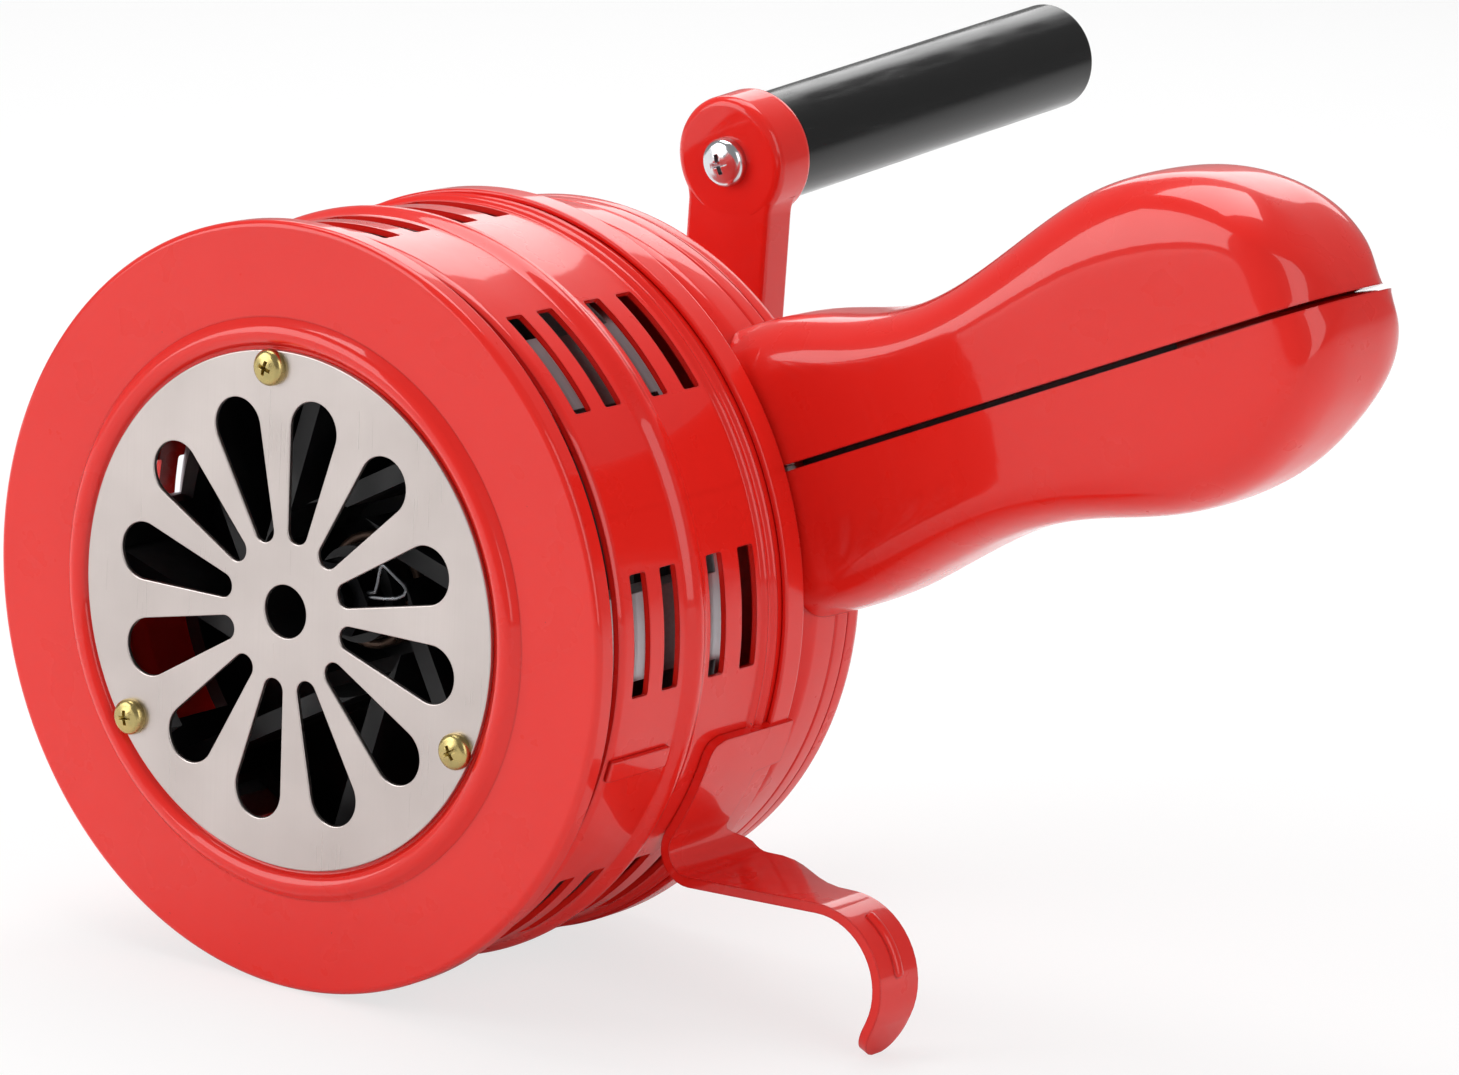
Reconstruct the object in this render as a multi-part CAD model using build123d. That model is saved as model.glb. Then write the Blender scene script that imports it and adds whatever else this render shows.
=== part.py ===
from build123d import *
import math
import os

# Hand crank siren: a slotted drum with a ported rotor inside, a gear case on its back, a crank
# arm with a turning handle, a two-shell side grip and a sheet-metal hook.
# Millimetres. +Z is up, the drum axis is Y and the air intake faces -Y.
# The origin is on the drum axis, half way along the wall of the front cover's rim.

# --- front cover ---------------------------------------------------------------------------
cover_radius = 55.0            # outside of the rim
cover_sheet = 1.2              # pressed steel
rim_wall = 2.2                 # straight part of the rim, along the axis
rim_round = 1.0                # rounded front edge
lip_radius = 39.3              # crest of the rolled lip round the grille
lip_half_width = 2.0
lip_height = 1.6               # crest in front of the face
seat_depth = 0.3               # grille seat in front of the face
seat_radius = 37.3
intake_radius = 32.5

# --- grille --------------------------------------------------------------------------------
grille_radius = 37.0
grille_sheet = 0.8
teardrop_count = 12
teardrop_outer_r = 4.15        # radius of the wide, outer end
teardrop_inner_r = 1.75        # radius of the narrow, inner end
teardrop_outer_tip = 30.95     # furthest point from the axis
teardrop_inner_tip = 10.1      # nearest point to the axis
teardrop_first_angle = 111.0
centre_hole_radius = 3.8
grille_screw_circle = 34.6
grille_screw_angles = (96.0, 216.0, 336.0)
grille_screw_head_r = 2.7
grille_screw_head_h = 1.8
grille_screw_r = 1.5
grille_screw_length = 5.2

# --- stator casting ------------------------------------------------------------------------
post_count = 8
post_angle = 3.0               # middle of the first post
post_spread = 14.2             # degrees
post_gap = 2.2                 # between the posts and the casing
post_depth = 6.8
post_recess = 0.8              # as-cast band between the two turned lands
recess_start = 16.5
recess_end = 24.5
stator_ring = 3.1              # thickness of the front ring
stator_back_y = 31.0           # front of the back plate
stator_back = 3.5
lug_width = 8.0
lug_inner = 31.5
skirt_radius = 39.0
skirt_wall = 2.5
drum_screw_circle = 33.0
drum_screw_angle = 68.3
drum_screw_count = 4
drum_boss_r = 4.5
drum_screw_r = 2.0
drum_screw_head_r = 3.6
drum_screw_head_h = 2.3
drum_screw_length = 12.0
stator_boss_r = 12.5

# --- slotted casing ------------------------------------------------------------------------
band_set_in = 1.9              # casing inside the rim of the front cover
band_sheet = 0.9
front_gap = 4.2                # open ring between the front cover and the casing
slot_groups = 8
slot_pitch = 44.0              # degrees; the lap joint takes the rest of the turn
slot_first = 4.2
slot_spread = 18.7             # degrees
slot_width = 3.5
slot_centres = (9.9, 16.6, 27.1, 34.3)
main_bead_y = 21.9
main_bead_half = 2.7
main_bead_height = 1.1
rear_beads = (37.7, 39.9)
rear_bead_half = 0.8
rear_bead_height = 0.7
lap_angle = -14.6
lap_slit = 0.5
lap_spread = 2.6               # degrees of overlap
lap_end = 25.0                 # the lap ends behind the main bead

# --- rear cover ----------------------------------------------------------------------------
rear_cover_y = 45.9            # back face
rear_cover_wall = 1.1
rear_cover_depth = 4.3
rear_cover_sheet = 1.2
rear_cover_round = 0.6

# --- gear case -----------------------------------------------------------------------------
case_radius = 51.0
case_neck = 46.5
case_flare_y = 53.4
case_end_y = 60.9
case_front_wall = 2.5
case_inner = 46.0
case_step_y = 50.9
case_step_inner = 43.8
case_groove_y = 58.0
case_groove = 0.35
cap_end_y = 64.6
cap_wall = 2.5
cap_round = 2.0
cap_boss_root = 15.0
cap_boss_tip = 12.0
cap_boss_end = 91.5
cap_screw_circle = 42.6
cap_screw_boss_r = 3.3
cap_screw_length = 9.0
bearing_boss_r = 12.5

# --- gears ---------------------------------------------------------------------------------
gear_module = 0.9
wheel_teeth = 44
pinion_teeth = 11
pressure_angle = 20.0
wheel_addendum = 0.60
pinion_addendum = 0.90
tooth_clearance = 0.22
backlash = 0.14
lay_angle = 203.3
lay_wheel_y = 51.2
lay_wheel_width = 4.0
lay_pinion_end = 61.8
lay_hub_r = 5.0
lay_pin_r = 2.0
crank_wheel_y = 56.7
crank_wheel_width = 4.2
crank_hub_r = 8.0
rotor_pinion_y = 49.7
rotor_pinion_end = 55.7

# --- rotor ---------------------------------------------------------------------------------
rotor_gap = 0.8                # between the rotor and the posts
rotor_front_y = 4.6
rotor_back_y = 29.5
rotor_disc = 2.2
rotor_rim = 2.4
rotor_rim_depth = 5.0          # closed rear part of the rim
rotor_ports = 8
port_bar = 16.0                # degrees, width of the bar between two ports
vane_sheet = 2.8
vane_offset = 12.5             # the vanes are tangent to this circle
vane_inner = 14.0
hub_radius = 7.0
hub_front_y = 12.0
shaft_radius = 3.0
pinion_seat_r = 2.25
shaft_front_y = 5.6
nut_flats = 10.0
nut_height = 4.0

# --- bearings and bushes -------------------------------------------------------------------
bearing_outer_r = 9.5
bearing_width = 6.0
bearing_split_r = 4.6          # inner ring inside, outer ring and shields outside
front_bearing_y = 31.9
rear_bearing_y = 42.2
bush_outer_r = 6.0
bush_length = 11.0
running = 0.05                 # radial running clearance of a shaft in its hole
fixed = 0.04                   # radial clearance of a fixed pin or screw

# --- hub spring ----------------------------------------------------------------------------
spring_wire = 1.4
spring_pitch = 2.4
spring_turns = 4.0
spring_start_y = 15.0
points_per_turn = 60           # for the measured gap between the turns

# --- crank ---------------------------------------------------------------------------------
crank_radius = 53.3            # drum axis to the middle of the eye
crank_angle = 88.0
crank_front_y = 93.3
arm_width = 15.2
arm_thickness = 6.2
arm_round = 1.6
arm_set_back = 0.9             # arm's front behind the middle of the eye's front
hub_proud = 0.7                # hub's front before the eye's
eye_radius = 9.7
eye_thickness = 8.5
hub_r = 11.0
hub_round = 1.0
hub_thickness = 9.2
crank_shaft_r = 4.0
shaft_flat = 0.8               # depth of the flat that turns the arm
crank_thread_r = 3.0
washer_r = 7.0
washer_thickness = 1.2
crank_nut_height = 5.0
cross_pin_r = 1.0

# --- handle --------------------------------------------------------------------------------
handle_radius = 8.25
handle_length = 75.0
handle_lean = 5.0              # degrees, outward from the drum axis direction
handle_gap = 0.4
handle_round = 1.2
spindle_radius = 4.0
spindle_length = 66.0
spindle_collar_r = 5.6
spindle_collar = 1.2
collar_spare = 0.3
handle_screw_r = 2.0
handle_screw_head_r = 3.7
handle_screw_head_h = 2.4
handle_screw_length = 24.0

# --- grip ----------------------------------------------------------------------------------
grip_angle = 23.3
grip_middle_y = 59.4
grip_depth = 26.0
grip_root = 43.5
grip_wall = 2.6
grip_round = 8.5
grip_seam = 0.9
grip_upper_line = ((56.0, 20.2), (76.0, 16.4), (96.0, 19.8), (114.5, 23.6), (132.5, 20.0))
grip_lower_line = ((56.0, 22.2), (86.0, 17.9), (101.0, 20.0), (115.5, 22.8), (132.5, 18.6))
grip_upper_end = 145.0
grip_lower_end = 146.2
grip_screw_stations = (70.0, 102.0, 129.0)
grip_boss_r = 3.6
grip_screw_r = 1.5
grip_screw_head_r = 2.8
grip_screw_head_h = 2.0
grip_screw_length = 24.0
grip_screw_seat = 12.0         # heads below the seam
tang_width = 12.0
tang_thickness = 3.0
tang_end = 119.0
saddle_half_angle = 14.0
saddle_width = 6.2
saddle_thickness = 2.4
saddle_screw_angle = 9.0
saddle_screw_r = 1.5
saddle_screw_head_r = 2.7
saddle_screw_head_h = 1.8

# --- hook ----------------------------------------------------------------------------------
hook_sheet = 1.5
hook_front_y = 27.9
hook_strap_width = 13.2
hook_flare_width = 18.8
hook_tip_width = 8.9
hook_top_angle = -15.6
hook_leave_angle = -32.8
hook_bend = 3.4
hook_run = 22.4
hook_rise = 2.3                # degrees
hook_curl = 9.7
hook_curl_end = -25.0          # degrees
hook_tip_round = 4.0
hook_rib_r = 1.1
hook_lift = 0.1                # paint film between the strap and the casing

# --- sizes worked out from the ones above --------------------------------------------------
band_radius = cover_radius - band_set_in
rear_cover_radius = band_radius + rear_cover_wall
post_outer = band_radius - band_sheet - post_gap
post_inner = post_outer - post_depth
rotor_radius = post_inner - rotor_gap
face_y = -rim_wall / 2 - rim_round
cover_back = face_y + cover_sheet
grille_back = face_y - seat_depth
grille_front = grille_back - grille_sheet
band_front = rim_wall / 2 + front_gap
rear_disc_front = rear_cover_y - rear_cover_sheet
band_rear = rear_disc_front - 0.3
case_wall_y = rear_cover_y + case_front_wall
cap_inner_y = cap_end_y - cap_wall
wheel_pitch_r = gear_module * wheel_teeth / 2
pinion_pitch_r = gear_module * pinion_teeth / 2
gear_centres = wheel_pitch_r + pinion_pitch_r
lay_x = gear_centres * math.cos(math.radians(lay_angle))
lay_z = gear_centres * math.sin(math.radians(lay_angle))
eye_middle_y = crank_front_y + eye_thickness / 2
crank_hub_front = crank_front_y - hub_proud
crank_hub_back = crank_hub_front + hub_thickness
spring_radius = hub_radius + spring_wire / 2 + fixed
handle_start = eye_thickness / 2 + handle_gap


# --- helpers -------------------------------------------------------------------------------
def front_plane(y):
    """Plane square to the drum axis: its x is +X, its y is +Z, seen from the intake."""
    return Plane(origin=(0, y, 0), x_dir=(1, 0, 0), z_dir=(0, -1, 0))


def slab(sketch, y_start, y_end):
    """Extrude a sketch drawn as seen from the intake, from y_start to y_end."""
    return extrude(front_plane(y_end) * sketch, y_end - y_start)


def rod(radius, y_start, y_end, x=0.0, z=0.0):
    """A cylinder along the drum axis direction."""
    return slab(Pos(x, z) * Circle(radius), y_start, y_end)


def tube(outer, inner, y_start, y_end, x=0.0, z=0.0):
    """A plain ring along the drum axis direction."""
    section = Circle(outer) - Circle(inner)
    return slab(Pos(x, z) * section, y_start, y_end)


def polar(radius, angle):
    """Point at a radius and an angle in degrees, as seen from the intake."""
    return (radius * math.cos(math.radians(angle)), radius * math.sin(math.radians(angle)))


def sector(outer, inner, middle, spread):
    """Ring sector sketch, spread degrees wide round the angle middle."""
    reach = outer / math.cos(math.radians(spread / 2)) + 1.0
    low = polar(reach, middle - spread / 2)
    high = polar(reach, middle + spread / 2)
    wedge = make_face(Polyline((0, 0), low, high, (0, 0)))
    return (Circle(outer) - Circle(inner)) & wedge


def turned(outline):
    """Revolve an outline of (radius, y) lines about the drum axis."""
    return revolve(make_face(outline), Axis.Y)


def arc_mid(centre, radius, start, end):
    """Three points of an arc round a centre, angles in degrees."""
    points = []
    for angle in (start, (start + end) / 2, end):
        x, z = polar(radius, angle)
        points.append((centre[0] + x, centre[1] + z))
    return points


def pan_screw(radius, head_r, head_h, length):
    """Screw along +Z: the head stands below the seat at z = 0 and the shank above it."""
    dome = head_h * 0.45
    head = Pos(0, 0, -head_h / 2) * Cylinder(head_r, head_h)
    head = fillet(head.faces().sort_by(Axis.Z)[0].edges(), dome)
    recess_depth = head_h * 0.6
    bar = Box(head_r * 1.1, head_r * 0.28, recess_depth)
    recess = Pos(0, 0, recess_depth / 2 - head_h) * (bar + Rot(Z=90) * bar)
    shank = Pos(0, 0, length / 2) * Cylinder(radius, length)
    return head + shank - recess


def along_y(shape, y, x=0.0, z=0.0, turn=0.0):
    """Stand a shape modelled along +Z on the direction +Y at a place."""
    return Pos(x, y, z) * Rot(X=-90) * Rot(Z=turn) * shape


def along_minus_y(shape, y, x=0.0, z=0.0, turn=0.0):
    """Stand a shape modelled along +Z on the direction -Y at a place."""
    return Pos(x, y, z) * Rot(X=90) * Rot(Z=turn) * shape


def save(shape, name):
    export_step(shape, "parts/" + name + ".step")


# --- drum ----------------------------------------------------------------------------------
def make_front_cover():
    lip_inside = lip_radius - lip_half_width
    lip_outside = lip_radius + lip_half_width
    edge = cover_radius - rim_round
    lean = rim_round * (1 - math.sqrt(0.5))
    outline = Curve() + [
        Line((intake_radius, cover_back), (intake_radius, grille_back)),
        Line((intake_radius, grille_back), (lip_inside, grille_back)),
        ThreePointArc((lip_inside, grille_back), (lip_radius, face_y - lip_height), (lip_outside, face_y)),
        Line((lip_outside, face_y), (edge, face_y)),
        ThreePointArc((edge, face_y), (cover_radius - lean, face_y + lean), (cover_radius, face_y + rim_round)),
        Line((cover_radius, face_y + rim_round), (cover_radius, rim_wall / 2)),
        Line((cover_radius, rim_wall / 2), (cover_radius - cover_sheet, rim_wall / 2)),
        Line((cover_radius - cover_sheet, rim_wall / 2), (cover_radius - cover_sheet, cover_back)),
        Line((cover_radius - cover_sheet, cover_back), (intake_radius, cover_back)),
    ]
    cover = turned(outline)
    for angle in grille_screw_angles:
        x, z = polar(grille_screw_circle, angle)
        cover -= rod(grille_screw_r + fixed, grille_back - 1, cover_back + 1, x, z)
    return cover


def teardrop():
    """One grille opening on +X: two round ends joined by their tangent lines."""
    wide = teardrop_outer_tip - teardrop_outer_r
    narrow = teardrop_inner_tip + teardrop_inner_r
    lean = math.degrees(math.asin((teardrop_outer_r - teardrop_inner_r) / (wide - narrow)))
    side = 90 + lean
    wide_arc = arc_mid((wide, 0), teardrop_outer_r, -side, side)
    narrow_arc = arc_mid((narrow, 0), teardrop_inner_r, side, 360 - side)
    outline = Curve() + [
        ThreePointArc(*wide_arc),
        Line(wide_arc[2], narrow_arc[0]),
        ThreePointArc(*narrow_arc),
        Line(narrow_arc[2], wide_arc[0]),
    ]
    return make_face(outline)


def make_grille_plate():
    plate = Circle(grille_radius) - Circle(centre_hole_radius)
    opening = teardrop()
    for index in range(teardrop_count):
        plate -= Rot(Z=teardrop_first_angle + index * 360 / teardrop_count) * opening
    for angle in grille_screw_angles:
        plate -= Pos(*polar(grille_screw_circle, angle)) * Circle(grille_screw_r + fixed)
    return slab(plate, grille_front, grille_back)


def make_grille_screws():
    screw = pan_screw(grille_screw_r, grille_screw_head_r, grille_screw_head_h, grille_screw_length)
    screws = []
    for angle in grille_screw_angles:
        x, z = polar(grille_screw_circle, angle)
        screws.append(along_y(screw, grille_front, x, z, turn=angle / 2))
    return Compound(screws)


def make_stator():
    ring_end = cover_back + stator_ring
    back_end = stator_back_y + stator_back
    stator = tube(post_outer, post_inner, cover_back, ring_end)
    stator += rod(post_outer, stator_back_y, back_end)
    for index in range(post_count):
        middle = post_angle + index * 360 / post_count
        post = sector(post_outer, post_inner, middle, post_spread)
        stator += slab(post, ring_end, stator_back_y)
    stator -= tube(post_outer + 1, post_outer - post_recess, recess_start, recess_end)
    for angle in grille_screw_angles:
        bar = Pos((lug_inner + post_inner) / 2 + 0.5, 0) * Rectangle(post_inner - lug_inner + 1, lug_width)
        stator += slab(Rot(Z=angle) * bar, cover_back, ring_end)
    stator += tube(skirt_radius, skirt_radius - skirt_wall, back_end, rear_disc_front)
    stator += rod(stator_boss_r, back_end, front_bearing_y + bearing_width)
    for index in range(drum_screw_count):
        x, z = polar(drum_screw_circle, drum_screw_angle + index * 360 / drum_screw_count)
        stator += rod(drum_boss_r, back_end, rear_disc_front, x, z)
        stator -= rod(drum_screw_r + fixed, back_end + 1.5, rear_disc_front + 1, x, z)
    stator -= rod(bearing_outer_r + fixed, front_bearing_y, back_end + bearing_width)
    stator -= rod(shaft_radius + 1.5, stator_back_y - 1, front_bearing_y + 1)
    for angle in grille_screw_angles:
        x, z = polar(grille_screw_circle, angle)
        stator -= rod(grille_screw_r + fixed, cover_back - 1, ring_end + 1, x, z)
    return stator


def bead(middle, half, height):
    """Outline pieces of one outward bead of the casing wall."""
    return ThreePointArc((band_radius, middle - half), (band_radius + height, middle), (band_radius, middle + half))


def make_casing_band():
    inner = band_radius - band_sheet
    outline = [bead(main_bead_y, main_bead_half, main_bead_height)]
    outline.append(Line((band_radius, band_front), (band_radius, main_bead_y - main_bead_half)))
    last = main_bead_y + main_bead_half
    for middle in rear_beads:
        outline.append(Line((band_radius, last), (band_radius, middle - rear_bead_half)))
        outline.append(bead(middle, rear_bead_half, rear_bead_height))
        last = middle + rear_bead_half
    outline.append(Line((band_radius, last), (band_radius, band_rear)))
    outline.append(Line((band_radius, band_rear), (inner, band_rear)))
    outline.append(Line((inner, band_rear), (inner, band_front)))
    outline.append(Line((inner, band_front), (band_radius, band_front)))
    band = turned(Curve() + outline)
    lap = sector(band_radius + band_sheet, band_radius - 0.1, lap_angle + lap_spread / 2, lap_spread)
    band += slab(lap, band_front, lap_end)
    slit_x = band_radius
    slit = Rot(Z=lap_angle) * Pos(slit_x, -lap_slit / 2) * Rectangle(band_sheet * 6, lap_slit)
    band -= slab(slit, band_front - 1, band_rear + 1)
    chord = 2 * band_radius * math.sin(math.radians(slot_spread / 2))
    cutters = []
    for index in range(slot_groups):
        middle = slot_first + index * slot_pitch
        window = Rot(Z=middle) * Pos(band_radius, 0) * Rectangle(band_sheet * 8, chord)
        for y in slot_centres:
            cutters.append(slab(window, y - slot_width / 2, y + slot_width / 2))
    return band - cutters


def make_rear_cover():
    front = rear_cover_y - rear_cover_depth
    edge = rear_cover_radius - rear_cover_round
    lean = rear_cover_round * (1 - math.sqrt(0.5))
    inside = band_radius + fixed
    outline = Curve() + [
        Line((bearing_boss_r + fixed, rear_disc_front), (bearing_boss_r + fixed, rear_cover_y)),
        Line((bearing_boss_r + fixed, rear_cover_y), (edge, rear_cover_y)),
        ThreePointArc(
            (edge, rear_cover_y),
            (rear_cover_radius - lean, rear_cover_y - lean),
            (rear_cover_radius, rear_cover_y - rear_cover_round),
        ),
        Line((rear_cover_radius, rear_cover_y - rear_cover_round), (rear_cover_radius, front)),
        Line((rear_cover_radius, front), (inside, front)),
        Line((inside, front), (inside, rear_disc_front)),
        Line((inside, rear_disc_front), (bearing_boss_r + fixed, rear_disc_front)),
    ]
    cover = turned(outline)
    for index in range(drum_screw_count):
        x, z = polar(drum_screw_circle, drum_screw_angle + index * 360 / drum_screw_count)
        cover -= rod(drum_screw_r + fixed, rear_disc_front - 1, rear_cover_y + 1, x, z)
    return cover


def make_drum_screws():
    screw = pan_screw(drum_screw_r, drum_screw_head_r, drum_screw_head_h, drum_screw_length)
    screws = []
    for index in range(drum_screw_count):
        x, z = polar(drum_screw_circle, drum_screw_angle + index * 360 / drum_screw_count)
        screws.append(along_minus_y(screw, case_wall_y, x, z, turn=30))
    return Compound(screws)


# --- gear case -----------------------------------------------------------------------------
def case_body(spare):
    """Outside of the gear case and its cap, grown by spare all round."""
    flare_mid = ((case_neck + case_radius) / 2 - 0.7 + spare, (rear_cover_y + case_flare_y) / 2 + 0.9)
    outer = case_radius + spare
    end = cap_end_y + spare
    edge = outer - cap_round
    lean = cap_round * (1 - math.sqrt(0.5))
    outline = Curve() + [
        Line((0, rear_cover_y), (case_neck + spare, rear_cover_y)),
        ThreePointArc((case_neck + spare, rear_cover_y), flare_mid, (outer, case_flare_y)),
        Line((outer, case_flare_y), (outer, end - cap_round)),
        ThreePointArc((outer, end - cap_round), (outer - lean, end - lean), (edge, end)),
        Line((edge, end), (0, end)),
        Line((0, end), (0, rear_cover_y)),
    ]
    return turned(outline)


def cap_screw_places():
    for index in range(drum_screw_count):
        yield polar(cap_screw_circle, drum_screw_angle + index * 360 / drum_screw_count)


def saddle_screw_places():
    for side in (-1, 1):
        yield grip_angle + side * saddle_screw_angle


def make_gear_case():
    case = case_body(0.0) - rod(case_radius + 5, case_end_y, cap_end_y + 5)
    case -= rod(case_step_inner, case_wall_y, case_step_y)
    case -= rod(case_inner, case_step_y, case_end_y + 1)
    case -= tube(case_radius + 1, case_radius - case_groove, case_groove_y - 0.25, case_groove_y + 0.25)
    rim = rod(case_inner + 1, case_wall_y, case_end_y)
    for x, z in cap_screw_places():
        boss = rod(cap_screw_boss_r, case_wall_y, case_end_y, x, z)
        case += boss & rim
        case -= rod(grille_screw_r + fixed, case_end_y - cap_screw_length, case_end_y + 1, x, z)
    case += rod(bearing_boss_r, rear_bearing_y - 0.8, rear_cover_y)
    case -= rod(bearing_outer_r + fixed, rear_bearing_y, case_wall_y + 1)
    case -= rod(shaft_radius + 1.5, rear_bearing_y - 2, rear_bearing_y + 1)
    for index in range(drum_screw_count):
        x, z = polar(drum_screw_circle, drum_screw_angle + index * 360 / drum_screw_count)
        case -= rod(drum_screw_r + fixed, rear_cover_y - 1, case_wall_y + 1, x, z)
    case += rod(lay_pin_r + 2, case_wall_y - 0.5, case_wall_y + 0.1, lay_x, lay_z)
    case -= rod(lay_pin_r + fixed, rear_cover_y + 0.6, case_wall_y + 1, lay_x, lay_z)
    hole = Pos(0, 0, case_radius - 3) * Cylinder(saddle_screw_r + fixed, 12)
    for angle in saddle_screw_places():
        case -= Pos(0, saddle_y(), 0) * Rot(Y=90 - angle) * hole
    return case


def make_gear_cap():
    cap = case_body(0.0) - rod(case_radius + 5, rear_cover_y - 5, case_end_y)
    cap -= rod(case_inner, case_end_y - 1, cap_inner_y)
    cone = Curve() + [
        Line((0, cap_inner_y), (cap_boss_root, cap_inner_y)),
        Line((cap_boss_root, cap_inner_y), (cap_boss_root, cap_end_y)),
        Line((cap_boss_root, cap_end_y), (cap_boss_tip, cap_end_y + 6)),
        Line((cap_boss_tip, cap_end_y + 6), (cap_boss_tip, cap_boss_end)),
        Line((cap_boss_tip, cap_boss_end), (0, cap_boss_end)),
        Line((0, cap_boss_end), (0, cap_inner_y)),
    ]
    cap += turned(cone)
    cap -= rod(bush_outer_r + fixed, cap_inner_y - 1, cap_boss_end + 1)
    for x, z in cap_screw_places():
        cap += rod(cap_screw_boss_r, case_end_y, cap_inner_y + 0.1, x, z) & rod(case_inner + 1, case_end_y, cap_end_y)
        cap -= rod(grille_screw_r + fixed, case_end_y - 1, cap_end_y + 1, x, z)
    cap -= rod(lay_pin_r + fixed, cap_inner_y - 1, cap_end_y - 1, lay_x, lay_z)
    return cap


def make_cap_screws():
    screw = pan_screw(grille_screw_r, 2.7, 1.9, cap_end_y - case_end_y + cap_screw_length - 1)
    screws = []
    for x, z in cap_screw_places():
        screws.append(along_minus_y(screw, cap_end_y, x, z, turn=20))
    return Compound(screws)


# --- gears ---------------------------------------------------------------------------------
def involute_half_angle(radius, base, pitch, half_tooth):
    """Half the angle that a tooth takes at a radius, by the involute of its base circle."""
    def roll(r):
        alpha = math.acos(min(1.0, base / r))
        return math.tan(alpha) - alpha
    return half_tooth + roll(pitch) - roll(max(radius, base))


def gear_outline(teeth, addendum, mate_addendum, middle):
    """Gear sketch with one tooth centred on the angle middle."""
    pitch = gear_module * teeth / 2
    base = pitch * math.cos(math.radians(pressure_angle))
    tip = pitch + addendum
    root = pitch - mate_addendum - tooth_clearance
    half_tooth = (math.pi * gear_module / 2 - backlash / 2) / (2 * pitch)
    radii = (root, pitch, tip)
    points = []
    for index in range(teeth):
        centre = math.radians(middle) + index * 2 * math.pi / teeth
        for side, order in ((-1, radii), (1, radii[::-1])):
            for radius in order:
                half = involute_half_angle(radius, base, pitch, half_tooth)
                angle = centre + side * half
                points.append((radius * math.cos(angle), radius * math.sin(angle)))
    points.append(points[0])
    return make_face(Polyline(*points))


def make_intermediate_gear():
    half_pitch = 180 / pinion_teeth
    wheel = gear_outline(wheel_teeth, wheel_addendum, pinion_addendum, lay_angle + 180)
    pinion = gear_outline(pinion_teeth, pinion_addendum, wheel_addendum, lay_angle + 180 + half_pitch)
    wheel_end = lay_wheel_y + lay_wheel_width
    at_lay = Pos(lay_x, lay_z)
    gear = slab(at_lay * wheel, lay_wheel_y, wheel_end)
    gear += slab(at_lay * pinion, wheel_end, lay_pinion_end)
    gear += rod(lay_hub_r, case_wall_y + 0.4, lay_wheel_y, lay_x, lay_z)
    return gear - rod(lay_pin_r + running, rear_cover_y, cap_end_y, lay_x, lay_z)


def make_layshaft_pin():
    return rod(lay_pin_r, rear_cover_y + 0.7, cap_end_y - 1.1, lay_x, lay_z)


def make_rotor_pinion():
    pinion = gear_outline(pinion_teeth, pinion_addendum, wheel_addendum, lay_angle + 180 / pinion_teeth)
    gear = slab(pinion, rotor_pinion_y, rotor_pinion_end)
    return gear - rod(pinion_seat_r + fixed, rotor_pinion_y - 1, rotor_pinion_end + 1)


def make_crank_gear():
    wheel = gear_outline(wheel_teeth, wheel_addendum, pinion_addendum, lay_angle)
    wheel_end = crank_wheel_y + crank_wheel_width
    gear = slab(wheel, crank_wheel_y, wheel_end)
    gear += rod(crank_hub_r, wheel_end, cap_inner_y - 0.3)
    for index in range(5):
        x, z = polar(13.2, lay_angle + 36 + index * 72)
        gear -= rod(3.2, crank_wheel_y - 1, wheel_end + 1, x, z)
    gear -= rod(crank_shaft_r + fixed, crank_wheel_y - 1, cap_inner_y)
    return gear - cross_pin(fixed)


def cross_pin(spare):
    """Pin across the crank gear's web and shaft."""
    pin = Cylinder(cross_pin_r + spare, 2 * crank_hub_r)
    return Pos(0, crank_wheel_y + crank_wheel_width / 2, 0) * Rot(Y=crank_angle) * pin


# --- rotor ---------------------------------------------------------------------------------
def make_rotor():
    disc_front = rotor_back_y - rotor_disc
    rotor = rod(rotor_radius, disc_front, rotor_back_y)
    rotor += rod(hub_radius, hub_front_y, disc_front)
    inner = rotor_radius - rotor_rim
    rotor += tube(rotor_radius, inner, disc_front - rotor_rim_depth, disc_front)
    rotor += tube(rotor_radius, inner, rotor_front_y, rotor_front_y + rotor_rim)
    bore = Circle(inner + 0.5) - Circle(vane_inner)
    for index in range(rotor_ports):
        middle = index * 360 / rotor_ports
        bar = sector(rotor_radius, inner, middle, port_bar)
        rotor += slab(bar, rotor_front_y, disc_front)
        blade = Pos(rotor_radius / 2, vane_offset) * Rectangle(rotor_radius * 1.2, vane_sheet)
        blade = Rot(Z=middle - 17) * blade
        rotor += slab(blade & bore, rotor_front_y + rotor_rim, disc_front)
    return rotor - rod(shaft_radius + fixed, hub_front_y - 1, rotor_back_y + 1)


def make_rotor_shaft():
    shaft = rod(shaft_radius, shaft_front_y, rotor_pinion_y)
    shaft = chamfer(shaft.faces().sort_by(Axis.Y)[0].edges(), 0.5)
    return shaft + rod(pinion_seat_r, rotor_pinion_y, rotor_pinion_end)


def make_rotor_nut():
    nut = RegularPolygon(nut_flats / 2, 6, major_radius=False) - Circle(shaft_radius + fixed)
    return slab(nut, hub_front_y - nut_height, hub_front_y)


def least_gap(path, turns, wire):
    """Least gap of a wound wire to itself, measured between points of its middle line."""
    count = round(turns * points_per_turn)
    places = [path @ (index / count) for index in range(count + 1)]
    least = path.length
    for index, place in enumerate(places):
        for other in places[index + points_per_turn // 2:]:
            least = min(least, (place - other).length)
    return least - wire


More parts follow.
